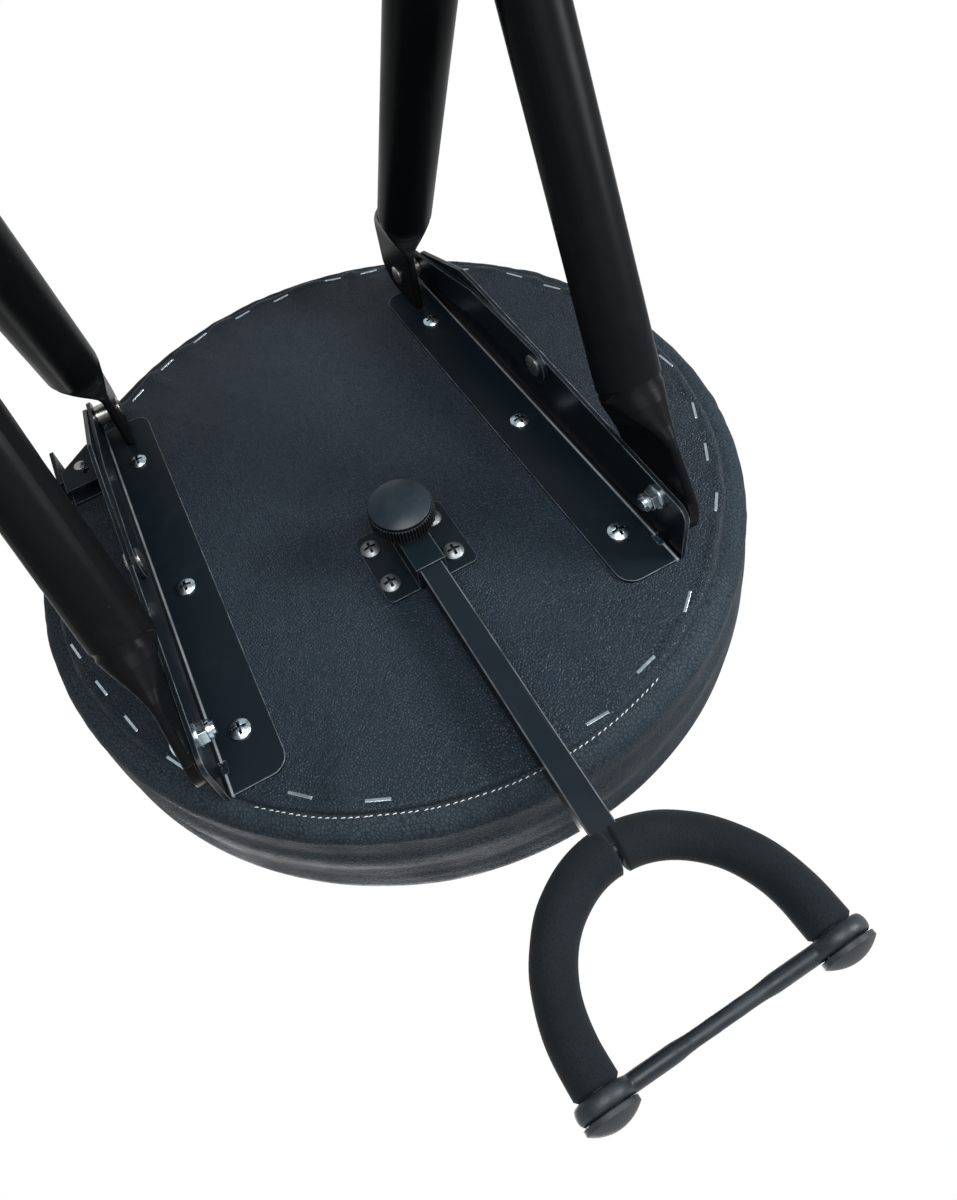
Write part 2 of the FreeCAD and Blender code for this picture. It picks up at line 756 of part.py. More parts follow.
def inner_leg_solid(side):
    """Inner leg with its level end, rounded at heel and toe, its rivet hole and cross-bolt hole."""
    leg = inner_leg(side)
    end = leg.flat_end(leg_pivot_depth - leg_stop_depth)
    reach = leg.flat_half + flat_half_thickness
    end = end.cut(round_off(side, leg_pivot_x - reach, 1, heel_round))
    end = end.cut(round_off(side, leg_pivot_x + reach, -1, toe_round))
    body = joined(leg, end)
    body = body.cut(cross_pin(leg_pivot_x, leg_pivot_depth, side, inner_flat_in - 1, inner_flat_out + 1,
                              rivet_radius))
    return body.cut(cross_pin(cross_x, cross_depth, side, cross_inner_y - 2 * leg.radius,
                              cross_inner_y + 2 * leg.radius, bolt_radius + running_gap))


def outer_leg_solid(side):
    """Outer leg with its round end, pivot hole and cross-bolt hole."""
    leg = outer_leg(side)
    end = leg.flat_end(0).fuse(cross_pin(seat_pivot_x, seat_pivot_depth, side, outer_flat_in, outer_flat_out,
                                         leg.flat_half))
    body = joined(leg, end)
    body = body.cut(cross_pin(seat_pivot_x, seat_pivot_depth, side, outer_flat_in - 1, outer_flat_out + 1,
                              seat_bolt_radius + running_gap))
    return body.cut(cross_pin(cross_x, cross_depth, side, cross_outer_y - 2 * leg.radius,
                              cross_outer_y + 2 * leg.radius, bolt_radius + running_gap))


def crossbar(make_leg, height):
    """Tube across a frame, its ends shaped to the legs that it is welded to."""
    legs = [make_leg(side) for _, side in SIDES]
    ends = [leg.centre(leg.distance_at_height(height)) for leg in legs]
    bar = rod(ends[0], ends[1], crossbar_radius).cut(rod(ends[0], ends[1], crossbar_radius - crossbar_wall))
    for leg in legs:
        bar = bar.cut(leg.tube(flat_length + taper_length, leg.length, leg.radius))
    return bar


def cross_bolt(side):
    """Bolt that joins the two frames where they cross."""
    head_seat = cross_outer_y + outer_tube_radius + outer_splay * bolt_head_radius
    end = cross_inner_y - inner_tube_radius - side_gap - nut_height - bolt_end
    shank = cross_pin(cross_x, cross_depth, side, end, head_seat, bolt_radius)
    head = dome_head(at(cross_x, side * head_seat, cross_depth), Vector(0, side, 0), bolt_head_radius,
                     bolt_head_height)
    return shank.fuse(head).removeSplitter()


def cross_spacer(side):
    """Spacer on the cross bolt between the two tubes, its outer end hollowed to sit on the outer tube."""
    inner = cross_inner_y + inner_tube_radius + side_gap
    outer = cross_outer_y
    ring = cross_pin(cross_x, cross_depth, side, inner, outer, cross_spacer_radius)
    ring = ring.cut(cross_pin(cross_x, cross_depth, side, inner - 1, outer + 1, bolt_radius))
    leg = outer_leg(side)
    return ring.cut(leg.tube(flat_length + taper_length, leg.length, leg.radius))


# Hanger

def clamp_bracket():
    """Plate under the seat with a square sleeve for the hanger bar."""
    base = block(seat_at(clamp_back_x, -clamp_half_width, 0),
                 seat_at(clamp_front_x, clamp_half_width, clamp_plate))
    corners = [edge for edge in base.Edges if abs(edge.Length - clamp_plate) < 0.01]
    base = base.makeFillet(clamp_corner, corners)
    body = base.fuse(block(seat_at(clamp_back_x, -sleeve_half, clamp_plate),
                           seat_at(clamp_front_x, sleeve_half, sleeve_depth))).removeSplitter()
    room = bar_side / 2 + bar_slip
    body = body.cut(block(seat_at(clamp_back_x - 1, -room, bar_depth - room),
                          seat_at(clamp_front_x + 1, room, bar_depth + room)))
    for x, y in clamp_screw_places():
        body = body.cut(rod(at(x, y, -1), at(x, y, clamp_plate + 1), screw_hole_radius))
    return body.cut(rod(seat_at(knob_x, 0, bar_depth), seat_at(knob_x, 0, sleeve_depth + 1),
                        bolt_radius + running_gap))


def clamp_nut():
    """Nut welded on the sleeve, which the thumb screw turns in."""
    nut = hexagon(seat_at(knob_x, 0, sleeve_depth), Vector(0, 0, -1), nut_flats, clamp_nut_height)
    return nut.cut(rod(seat_at(knob_x, 0, sleeve_depth - 1),
                       seat_at(knob_x, 0, sleeve_depth + clamp_nut_height + 1), bolt_radius + running_gap))


def knob_top_depth():
    """Depth of the knob's face that looks at the nut."""
    return sleeve_depth + clamp_nut_height + knob_lift


def clamp_knob():
    """Round knob with a knurled band and a low domed face."""
    top = knob_top_depth()
    points = []
    for index in range(knurl_count):
        for part, radius in ((0.0, knob_radius), (0.5, knob_radius - knurl_depth)):
            angle = 2 * math.pi * (index + part) / knurl_count
            points.append(seat_at(knob_x + radius * math.cos(angle), radius * math.sin(angle), top))
    band = Part.Face(Part.makePolygon(points + points[:1])).extrude(Vector(0, 0, -knob_band))
    cap = dome_head(seat_at(knob_x, 0, top + knob_band), Vector(0, 0, -1), knob_radius - knurl_depth,
                    knob_height - knob_band)
    body = band.fuse(cap).removeSplitter()
    return body.cut(rod(seat_at(knob_x, 0, top - 1), seat_at(knob_x, 0, top + knob_band), bolt_radius))


def clamp_stud():
    """Thumb screw's threaded stud, its tip just off the bar."""
    return rod(seat_at(knob_x, 0, bar_depth + bar_side / 2 + running_gap),
               seat_at(knob_x, 0, knob_top_depth() + knob_band), bolt_radius)


def yoke_centre():
    """Middle of the yoke's bend."""
    return seat_at(yoke_centre_x, 0, bar_depth)


def bend(side, radius, hole, turn):
    """Bent round stretch of the yoke from one arm towards the bar, solid or with a hole."""
    start = yoke_centre() + Vector(0, side * yoke_radius, 0)
    face = Part.Face(Part.Wire(Part.makeCircle(radius, start, Vector(1, 0, 0))))
    if hole:
        face = face.cut(Part.Face(Part.Wire(Part.makeCircle(hole, start, Vector(1, 0, 0)))))
    return face.revolve(yoke_centre(), Z_AXIS, side * turn)


def arm_point(x, side):
    """Point on an arm's middle line, before the yoke is turned."""
    return seat_at(x, side * yoke_radius, bar_depth)


def skewed(shape):
    """The piece turned with the yoke, whose left arm reaches a little further forward than the right one."""
    shape.rotate(yoke_centre(), Z_AXIS, -yoke_skew)
    return shape


def rod_end_x():
    """Front end of the yoke's rod, inside the end caps."""
    return arm_end_x + neck_length + 0.3 * cap_head_height


def yoke_rod():
    """Bent rod of the yoke."""
    body = bend(1, yoke_rod_radius, 0, 180)
    for _, side in SIDES:
        body = body.fuse(rod(arm_point(yoke_centre_x, side), arm_point(rod_end_x(), side), yoke_rod_radius))
    return skewed(body.removeSplitter())


def hanger_bar(yoke):
    """Square bar that slides in the clamp and is welded to the yoke's rod."""
    half = bar_side / 2
    bar = block(seat_at(bar_tail_x, -half, bar_depth - half),
                seat_at(yoke_centre_x - yoke_radius, half, bar_depth + half))
    long_edges = [edge for edge in bar.Edges if edge.Length > 2 * bar_side]
    pieces = bar.makeFillet(bar_edge, long_edges).cut(yoke).Solids
    return max(pieces, key=lambda piece: piece.Volume)


def foam(side):
    """Foam sleeve on half of the yoke, notched for the bar, from the slit before its end to the arm's end."""
    gap_angle = math.degrees(math.asin(foam_slit / 2 / yoke_radius))
    hole = yoke_rod_radius + foam_fit
    body = bend(side, foam_radius, hole, 90 - gap_angle + side * yoke_skew)
    straight = rod(arm_point(yoke_centre_x, side), arm_point(arm_end_x, side), foam_radius)
    straight = straight.cut(rod(arm_point(yoke_centre_x, side), arm_point(arm_end_x, side), hole))
    half = bar_side / 2 + foam_bar_gap
    notch = block(seat_at(bar_tail_x, -half, bar_depth - half),
                  seat_at(yoke_centre_x - yoke_radius, half, bar_depth + half))
    return skewed(body.fuse(straight).removeSplitter()).cut(notch)


def end_cap(side):
    """Rubber end cap: a neck for the strap and a low domed head."""
    neck_end = arm_end_x + neck_length
    neck = rod(arm_point(arm_end_x, side), arm_point(neck_end, side), neck_radius)
    head = dome_head(arm_point(neck_end, side), Vector(1, 0, 0), cap_head_radius, cap_head_height)
    hole = rod(arm_point(arm_end_x - 1, side), arm_point(rod_end_x(), side), yoke_rod_radius)
    return skewed(neck.fuse(head).removeSplitter().cut(hole))


def strap_end():
    """Half width of the strap's straight part, between the rings on the two necks."""
    return yoke_radius - neck_radius - strap_gap


def strap_outline():
    """Half of the strap's side view, as (y, half thickness) points from one ring to the other."""
    thick = strap_end() - strap_thick_length
    thin = thick - strap_taper_length
    return [(-strap_end(), strap_thick / 2), (-thick, strap_thick / 2), (-thin, strap_thin / 2),
            (thin, strap_thin / 2), (thick, strap_thick / 2), (strap_end(), strap_thick / 2)]


def keeper_strap():
    """Rubber strap between the arms: a ring on each neck, thick ends that taper to a thin middle."""
    back = arm_end_x + (neck_length - strap_width) / 2
    front = back + strap_width
    ring_inner = neck_radius + strap_gap
    upper = [seat_at(back, y, bar_depth - half) for y, half in strap_outline()]
    lower = [seat_at(back, y, bar_depth + half) for y, half in reversed(strap_outline())]
    body = Part.Face(Part.makePolygon(upper + lower + upper[:1])).extrude(Vector(strap_width, 0, 0))
    for _, side in SIDES:
        body = body.fuse(rod(arm_point(back, side), arm_point(front, side), ring_inner + strap_ring_wall))
    body = body.removeSplitter()
    for _, side in SIDES:
        body = body.cut(rod(arm_point(back - 1, side), arm_point(front + 1, side), ring_inner))
    return skewed(body)


# Catch on the left rail

def catch_at(x, out, depth):
    """Point of the catch: out is the distance from the left web's outer face."""
    return at(x, web_out + out, depth)


def lever_face():
    """Depth of the lever's upper face."""
    return lock_depth - lock_plate - lever_slip - lever_thickness


def lever_pin(radius, top, bottom):
    """Upright pin on the lever's pivot, between two depths."""
    return rod(catch_at(lever_pivot_x, lever_pivot_out, bottom),
               catch_at(lever_pivot_x, lever_pivot_out, top), radius)


def tongue_window(inner, outer):
    """Window for the lever's tongue and its swing, between two distances from the web's outer face."""
    room = 2 * lever_slip
    return block(catch_at(tongue_x - room, inner, lever_face() - lever_slip),
                 catch_at(tongue_x + tongue_width + tongue_swing + room, outer, lock_depth - lock_plate))


def lock_bracket():
    """Channel on the left web's outer face: a back and two leaves that hold the lever's rivet."""
    top = lock_depth - lock_height
    body = block(catch_at(lock_far_x, 0, top), catch_at(lock_near_x, lock_reach, lock_depth))
    body = body.cut(block(catch_at(lock_far_x - 1, lock_plate, top + lock_plate),
                          catch_at(lock_near_x + 1, lock_reach + 1, lock_depth - lock_plate)))
    corner = [catch_at(lock_far_x - 1, lock_plate, top - 1),
              catch_at(lock_far_x + lock_slant, lock_reach + 1, top - 1),
              catch_at(lock_far_x - 1, lock_reach + 1, top - 1)]
    wedge = Part.Face(Part.makePolygon(corner + corner[:1])).extrude(Vector(0, 0, -lock_height - 2))
    notch = rod(catch_at(notch_x, notch_out, lock_depth - lock_plate - lever_slip),
                catch_at(notch_x, notch_out, lock_depth + 1), notch_size / 2)
    body = body.cut(wedge).cut(notch).cut(tongue_window(-1, lock_plate + 1))
    return body.cut(lever_pin(pin_radius, top - 1, lock_depth + 1))


def lock_lever():
    """Catch lever: a plate on the rivet, a tongue into the web's window and an upright thumb tab outside."""
    top = lever_face()
    bottom = top + lever_thickness
    body = lever_pin(lever_eye_radius, top, bottom)
    tongue = block(catch_at(tongue_x, -rail_thickness, top),
                   catch_at(tongue_x + tongue_width, lever_pivot_out, bottom))
    neck = block(catch_at(lever_pivot_x, lever_pivot_out - lever_eye_radius / 2, top),
                 catch_at(tongue_x + tongue_width, lever_pivot_out + lever_eye_radius / 2, bottom))
    arm_near = lever_pivot_x + lever_arm_width / 2
    arm = block(catch_at(lever_pivot_x - lever_arm_width / 2, lever_pivot_out, top),
                catch_at(arm_near, thumb_tab_out, bottom))
    tab = block(catch_at(thumb_tab_far_x, thumb_tab_out, bottom - thumb_tab_height),
                catch_at(arm_near, thumb_tab_out + lever_thickness, bottom))
    body = body.fuse([tongue, neck, arm, tab]).removeSplitter()
    return body.cut(lever_pin(pin_radius + running_gap, top - 1, bottom + 1))


def lock_rivet():
    """Rivet that the lever turns on."""
    top = lock_depth - lock_height
    shank = lever_pin(pin_radius, top, lock_depth)
    head = dome_head(catch_at(lever_pivot_x, lever_pivot_out, lock_depth), Vector(0, 0, -1), pin_head_radius,
                     pin_head_height)
    tail = dome_head(catch_at(lever_pivot_x, lever_pivot_out, top), Z_AXIS, pin_head_radius, pin_head_height)
    return shank.fuse([head, tail]).removeSplitter()


def lock_spring():
    """Coil round the rivet, between the upper leaf and the lever, with a straight tail along the back."""
    height = lever_face() - lever_slip - (lock_depth - lock_height + lock_plate) - 2 * spring_wire
    start = catch_at(lever_pivot_x, lever_pivot_out, lever_face() - lever_slip - spring_wire)
    coil = Part.makeHelix(height / spring_turns, height, spring_coil_radius)
    coil.translate(start)
    wire = Part.Wire(coil.Edges)
    ring = Part.Wire(Part.makeCircle(spring_wire, start + Vector(spring_coil_radius, 0, 0), Y_AXIS))
    return wire.makePipeShell([ring], True, True)


def build():
    """Make every piece and write it out."""
    os.makedirs("parts", exist_ok=True)
    for name, shape in seat_pieces().items():
        export(name, place_seat(shape))
    export("staples", place_seat(staples()))
    rail_screws = [wood_screw(x, y, rail_thickness) for x, y in rail_screw_places()]
    export("rail_screws", Part.makeCompound(rail_screws))
    for name, side in SIDES:
        body = rail(side)
        if side > 0:
            body = body.cut(tongue_window(-rail_thickness - 1, 1))
        export("rail_" + name, body)
        export("link_" + name, link(side))
        export("inner_leg_" + name, inner_leg_solid(side))
        export("outer_leg_" + name, outer_leg_solid(side))
        export("foam_" + name, foam(side))
        export("end_cap_" + name, end_cap(side))
    pairs = {
        "rail_rivets": rail_rivet,
        "link_studs": link_stud,
        "leg_rivets": leg_rivet,
        "leg_bushes": leg_bush,
        "pivot_bolts": pivot_bolt,
        "cross_bolts": cross_bolt,
        "cross_spacers": cross_spacer,
        "pivot_nuts": lambda side: lock_nut((seat_pivot_x, seat_pivot_depth), side, web_in - washer_thickness,
                                            (seat_nut_flats, seat_nut_height, seat_bolt_radius)),
        "cross_nuts": lambda side: lock_nut((cross_x, cross_depth), side,
                                            cross_inner_y - inner_tube_radius - side_gap,
                                            (nut_flats, nut_height, bolt_radius)),
        "inner_foot_caps": lambda side: inner_leg(side).foot_cap(),
        "outer_foot_caps": lambda side: outer_leg(side).foot_cap(),
    }
    for name, make in pairs.items():
        export(name, Part.makeCompound([make(side) for _, side in SIDES]))
    export("pivot_washers", Part.makeCompound([ring for _, side in SIDES for ring in pivot_washers(side)]))
    export("footrest_bar", crossbar(inner_leg, footrest_height))
    export("brace_bar", crossbar(outer_leg, brace_height))
    export("clamp_bracket", clamp_bracket())
    clamp_screws = [wood_screw(x, y, clamp_plate) for x, y in clamp_screw_places()]
    export("clamp_screws", Part.makeCompound(clamp_screws))
    export("clamp_nut", clamp_nut())
    export("clamp_knob", clamp_knob())
    export("clamp_stud", clamp_stud())
    yoke = yoke_rod()
    export("yoke_rod", yoke)
    export("hanger_bar", hanger_bar(yoke))
    export("keeper_strap", keeper_strap())
    export("lock_bracket", lock_bracket())
    export("lock_lever", lock_lever())
    export("lock_rivet", lock_rivet())
    export("lock_spring", lock_spring())


build()
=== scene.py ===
"""Folding guitar stool, seen from below the seat. Metres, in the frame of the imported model."""
import math

import bmesh
import bpy
import numpy
from mathutils import Matrix, Vector, noise


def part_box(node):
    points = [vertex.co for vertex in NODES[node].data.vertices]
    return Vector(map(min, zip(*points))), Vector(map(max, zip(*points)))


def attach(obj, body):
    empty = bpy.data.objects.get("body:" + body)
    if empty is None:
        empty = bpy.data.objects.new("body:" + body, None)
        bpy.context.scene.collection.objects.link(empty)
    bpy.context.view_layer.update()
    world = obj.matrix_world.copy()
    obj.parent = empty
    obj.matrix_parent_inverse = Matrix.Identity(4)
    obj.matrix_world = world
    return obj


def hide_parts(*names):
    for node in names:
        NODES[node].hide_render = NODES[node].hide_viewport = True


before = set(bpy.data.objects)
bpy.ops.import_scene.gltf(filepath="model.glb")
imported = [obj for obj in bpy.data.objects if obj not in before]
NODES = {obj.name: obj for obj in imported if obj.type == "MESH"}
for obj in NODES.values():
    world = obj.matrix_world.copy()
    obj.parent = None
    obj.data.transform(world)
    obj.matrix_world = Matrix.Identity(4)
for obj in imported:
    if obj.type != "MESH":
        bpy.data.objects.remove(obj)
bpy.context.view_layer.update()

MM = 0.001

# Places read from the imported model
UNDER_LOW, UNDER_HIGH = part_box("bottom_cover")
COVER_LOW, COVER_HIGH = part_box("seat_cover")
FOAM_LOW, FOAM_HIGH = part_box("foam_left")
BAR_LOW, BAR_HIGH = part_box("hanger_bar")
STRAP_LOW, STRAP_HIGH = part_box("keeper_strap")
UNDER_Z = UNDER_LOW.z
SEAT = Vector(((UNDER_LOW.x + UNDER_HIGH.x) / 2, (UNDER_LOW.y + UNDER_HIGH.y) / 2, UNDER_Z))
BOTTOM_RADIUS = (UNDER_HIGH.x - UNDER_LOW.x) / 2
SEAT_RADIUS = (COVER_HIGH.x - COVER_LOW.x) / 2
SEAT_THICKNESS = COVER_HIGH.z - UNDER_Z
HEM_Z = COVER_LOW.z - UNDER_Z
BAR_Z = (BAR_LOW.z + BAR_HIGH.z) / 2
YOKE_ROD_RADIUS = (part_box("yoke_rod")[1].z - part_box("yoke_rod")[0].z) / 2
FOAM_RADIUS = (FOAM_HIGH.z - FOAM_LOW.z) / 2
IRONS = [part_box(name) for name in ("rail_right", "rail_left", "clamp_bracket")]
RAIL_SIDES = [corner.y for box in IRONS[:2] for corner in box]
RAIL_MIDDLE = (min(RAIL_SIDES) + max(RAIL_SIDES)) / 2
RAIL_STEEL = 2.0 * MM
RAIL_BEND = 1.5 * MM
BEND_LINE = (max(RAIL_SIDES) - min(RAIL_SIDES)) / 2 - RAIL_STEEL - RAIL_BEND

# Seat skin
SKIN_SEGMENTS = 120
SKIN_FINER = 4
RIM_RADIUS = 7.0 * MM
RIM_INSET = 2.0 * MM
SHOULDER_DROP = 22.0 * MM
CROWN_DROP = 6.5 * MM
SKIN_SHRINK = 1.2 * MM
SWELL_LIMIT = 3.0 * MM
CLOTH_FRAMES = 14
CLOTH_PRESSURE = 4.0

# Bottom cover
COVER_SEGMENTS = 360
VINYL = 1.0 * MM
PUCKER = 1.0 * MM
YOKE_ROOM = 0.55 * MM
STAPLE_HALF = 4.8 * MM

# Camera at the photograph's viewing place: it looks up at the underside, head down
IMAGE_WIDTH = 957
IMAGE_HEIGHT = 1200
FOCAL_PX = 872.8
CENTRE_PX = (327.5, 448.1)
CAMERA_PLACE = Vector((0.27394, 0.04380, 0.23985))
CAMERA_RIGHT = Vector((0.38908, -0.89268, 0.22745))
CAMERA_UP = Vector((-0.62772, -0.43762, -0.64378))
SENSOR = 36.0


# Materials

class Shader:
    """Node material with one principled surface and short helpers for its texture nodes."""

    def __init__(self, name, metallic=0.0, roughness=0.5, specular=0.5):
        self.material = bpy.data.materials.new(name)
        self.material.use_nodes = True
        self.nodes = self.material.node_tree.nodes
        self.links = self.material.node_tree.links
        self.surface = self.nodes["Principled BSDF"]
        self.set("Metallic", metallic)
        self.set("Roughness", roughness)
        self.set("Specular IOR Level", specular)
        self.place = self.nodes.new("ShaderNodeTexCoord").outputs["Object"]

    def set(self, socket, value):
        """Give a surface socket a constant."""
        self.surface.inputs[socket].default_value = value

    def join(self, output, socket):
        """Drive a surface socket by a texture."""
        self.links.new(output, self.surface.inputs[socket])

    def stretched(self, scale, turn=(0.0, 0.0, 0.0)):
        """Object coordinates scaled, and turned, unequally along the axes."""
        mapping = self.nodes.new("ShaderNodeMapping")
        mapping.inputs["Scale"].default_value = scale
        mapping.inputs["Rotation"].default_value = turn
        self.links.new(self.place, mapping.inputs["Vector"])
        return mapping.outputs["Vector"]

    def noise(self, scale, detail=3.0, rough=0.55, where=None, warp=0.0):
        """Fractal noise, its size in cells per metre."""
        node = self.nodes.new("ShaderNodeTexNoise")
        node.inputs["Scale"].default_value = scale
        node.inputs["Detail"].default_value = detail
        node.inputs["Roughness"].default_value = rough
        node.inputs["Distortion"].default_value = warp
        self.links.new(where or self.place, node.inputs["Vector"])
        return node.outputs["Fac"]

    def cells(self, scale, feature="DISTANCE_TO_EDGE", where=None, jitter=1.0):
        """Cell pattern, its size in cells per metre."""
        node = self.nodes.new("ShaderNodeTexVoronoi")
        node.feature = feature
        node.inputs["Scale"].default_value = scale
        node.inputs["Randomness"].default_value = jitter
        self.links.new(where or self.place, node.inputs["Vector"])
        return node.outputs["Distance"]

    def ramp(self, value, low, high, out_low=0.0, out_high=1.0):
        """Map a range of a texture to another range."""
        node = self.nodes.new("ShaderNodeMapRange")
        node.inputs["From Min"].default_value = low
        node.inputs["From Max"].default_value = high
        node.inputs["To Min"].default_value = out_low
        node.inputs["To Max"].default_value = out_high
        self.links.new(value, node.inputs["Value"])
        return node.outputs["Result"]

    def math(self, operation, first, second):
        """Combine two values, either of which may be a number."""
        node = self.nodes.new("ShaderNodeMath")
        node.operation = operation
        for socket, value in zip(node.inputs, (first, second)):
            if isinstance(value, (int, float)):
                socket.default_value = value
            else:
                self.links.new(value, socket)
        return node.outputs["Value"]

    def blend(self, factor, first, second):
        """Mix two colours by a factor; a colour is a tuple or an output."""
        node = self.nodes.new("ShaderNodeMix")
        node.data_type = "RGBA"
        self.links.new(factor, node.inputs["Factor"])
        for socket, value in ((node.inputs[6], first), (node.inputs[7], second)):
            if isinstance(value, tuple):
                socket.default_value = (*value, 1.0)
            else:
                self.links.new(value, socket)
        return node.outputs[2]

    def bump(self, height, distance, strength=1.0, under=None):
        """Turn a height texture into a normal, on top of another normal."""
        node = self.nodes.new("ShaderNodeBump")
        node.inputs["Distance"].default_value = distance
        node.inputs["Strength"].default_value = strength
        self.links.new(height, node.inputs["Height"])
        if under is not None:
            self.links.new(under, node.inputs["Normal"])
        return node.outputs["Normal"]

    def soft_edges(self, radius):
        """Normal that rounds sharp edges off, as paint and tumbling do."""
        node = self.nodes.new("ShaderNodeBevel")
        node.samples = 6
        node.inputs["Radius"].default_value = radius
        return node.outputs["Normal"]

    def edge_mask(self, rounded):
        """1 on sharp edges and 0 on flats, from how far the rounded normal leans off the true one."""
        lean = self.nodes.new("ShaderNodeVectorMath")
        lean.operation = "DOT_PRODUCT"
        self.links.new(rounded, lean.inputs[0])
        self.links.new(self.nodes.new("ShaderNodeNewGeometry").outputs["Normal"], lean.inputs[1])
        return self.ramp(lean.outputs["Value"], 0.985, 0.86)

    def facing(self):
        """Parts of the normal along the object's axes."""
        node = self.nodes.new("ShaderNodeSeparateXYZ")
        self.links.new(self.nodes.new("ShaderNodeTexCoord").outputs["Normal"], node.inputs["Vector"])
        return node.outputs

    def open_air(self, reach):
        """1 on open faces and less in narrow hollows of the same piece, for painting shade there."""
        node = self.nodes.new("ShaderNodeAmbientOcclusion")
        node.samples = 8
        node.only_local = True
        node.inputs["Distance"].default_value = reach
        return node.outputs["AO"]


def vinyl_material(name, dark, light, grain, relief, specular, sheen):
    """Leather-grain vinyl: pebbles parted by creases, with painted shade in the creases between pebbles, rubbed a
    little paler in patches.
    """
    shader = Shader(name, roughness=0.44, specular=specular)
    shader.set("Sheen Weight", sheen)
    shader.set("Sheen Roughness", 0.35)
    where = shader.stretched((1.0, 1.25, 1.0), (0.0, 0.0, 0.6))
    pebble = shader.ramp(shader.cells(grain, where=where), 0.0, 0.25)
    fine = shader.cells(2.3 * grain, where=where)
    crease = shader.noise(0.35 * grain, 4.0, 0.6, where, 1.2)
    height = shader.math("ADD", shader.math("MULTIPLY", pebble, 0.8), shader.math("MULTIPLY", fine, 0.3))
    height = shader.math("ADD", height, shader.math("MULTIPLY", crease, 1.0))
    slack = shader.noise(28.0, 3.0, 0.5)
    normal = shader.bump(slack, 1.2 * MM, 0.5)
    shader.join(shader.bump(height, relief, 1.0, normal), "Normal")
    rubbed = shader.ramp(shader.noise(14.0, 4.0, 0.65), 0.35, 0.75)
    # Painted shade: the creases between the pebbles get half the dark colour.
    valley = shader.ramp(pebble, 0.0, 0.6)
    tone = shader.blend(rubbed, dark, light)
    shade = tuple(0.5 * c for c in dark)
    shader.join(shader.blend(valley, shade, tone), "Base Color")
    shader.join(shader.ramp(shader.noise(60.0, 3.0), 0.3, 0.7, 0.36, 0.50), "Roughness")
    return shader.material


def bend_highlight_and_shade(shader, tone, bare_and_highlight):
    """Painted highlight along the line where a rail's flange starts to bend, broken into patches, and painted shade on
    the web beside it.
    """
    place = shader.nodes.new("ShaderNodeSeparateXYZ")
    shader.links.new(shader.place, place.inputs["Vector"])
    # Painted shade: faces turned sideways, within 20 mm below the seat, are darkened almost to black.
    facing = shader.facing()
    sideways = shader.ramp(shader.math("ABSOLUTE", facing["Y"], 0.0), 0.10, 0.45)
    near = shader.ramp(place.outputs["Z"], SEAT.z - 20.0 * MM, SEAT.z - 3.0 * MM)
    tone = shader.blend(shader.math("MULTIPLY", sideways, near), tone, (0.0010, 0.0014, 0.0018))
    # Painted highlight: a thin line of the bare-steel colour along the bend, on the flange.
    from_middle = shader.math("ABSOLUTE", shader.math("SUBTRACT", place.outputs["Y"], RAIL_MIDDLE), 0.0)
    from_line = shader.math("ABSOLUTE", shader.math("SUBTRACT", from_middle, BEND_LINE), 0.0)
    line = shader.ramp(from_line, 0.25 * MM, 0.6 * MM, 1.0, 0.0)
    flange = shader.ramp(place.outputs["Z"], SEAT.z - 3.0 * MM, SEAT.z - 2.6 * MM)
    rub = shader.ramp(shader.noise(60.0, 4.0, 0.6), 0.30, 0.60, 0.35, 1.0)
    return shader.blend(shader.math("MULTIPLY", shader.math("MULTIPLY", line, flange), rub), tone, bare_and_highlight)


def powder_coat(name, colour, roughness, specular, worn, bare_and_highlight, bent=False):
    """Black powder coat: orange-peel skin, faint dust and edges rubbed down towards the bare steel; on a bent rail,
    also a painted highlight along the bend and painted shade beside it.
    """
    shader = Shader(name, roughness=roughness, specular=specular)
    rounded = shader.soft_edges(0.7 * MM)
    peel = shader.noise(900.0, 2.0, 0.5)
    shader.join(shader.bump(peel, 0.03 * MM, 0.5, rounded), "Normal")
    dust = shader.ramp(shader.noise(45.0, 5.0, 0.7), 0.55, 0.82)
    tone = shader.blend(dust, colour, tuple(c + worn for c in colour))
    speck = shader.ramp(shader.cells(160.0, "F1"), 0.04, 0.09, 1.0, 0.0)
    patch = shader.ramp(shader.noise(30.0, 2.0), 0.60, 0.68)
    tone = shader.blend(shader.math("MULTIPLY", speck, patch), tone, tuple(c + 6 * worn for c in colour))
    rub = shader.ramp(shader.noise(110.0, 4.0, 0.6), 0.35, 0.62, 0.25, 1.0)
    tone = shader.blend(shader.math("MULTIPLY", shader.edge_mask(rounded), rub), tone, bare_and_highlight)
    shader.join(bend_highlight_and_shade(shader, tone, bare_and_highlight) if bent else tone, "Base Color")
    shader.join(shader.ramp(shader.noise(25.0, 4.0), 0.3, 0.7, roughness - 0.05, roughness + 0.09), "Roughness")
    return shader.material


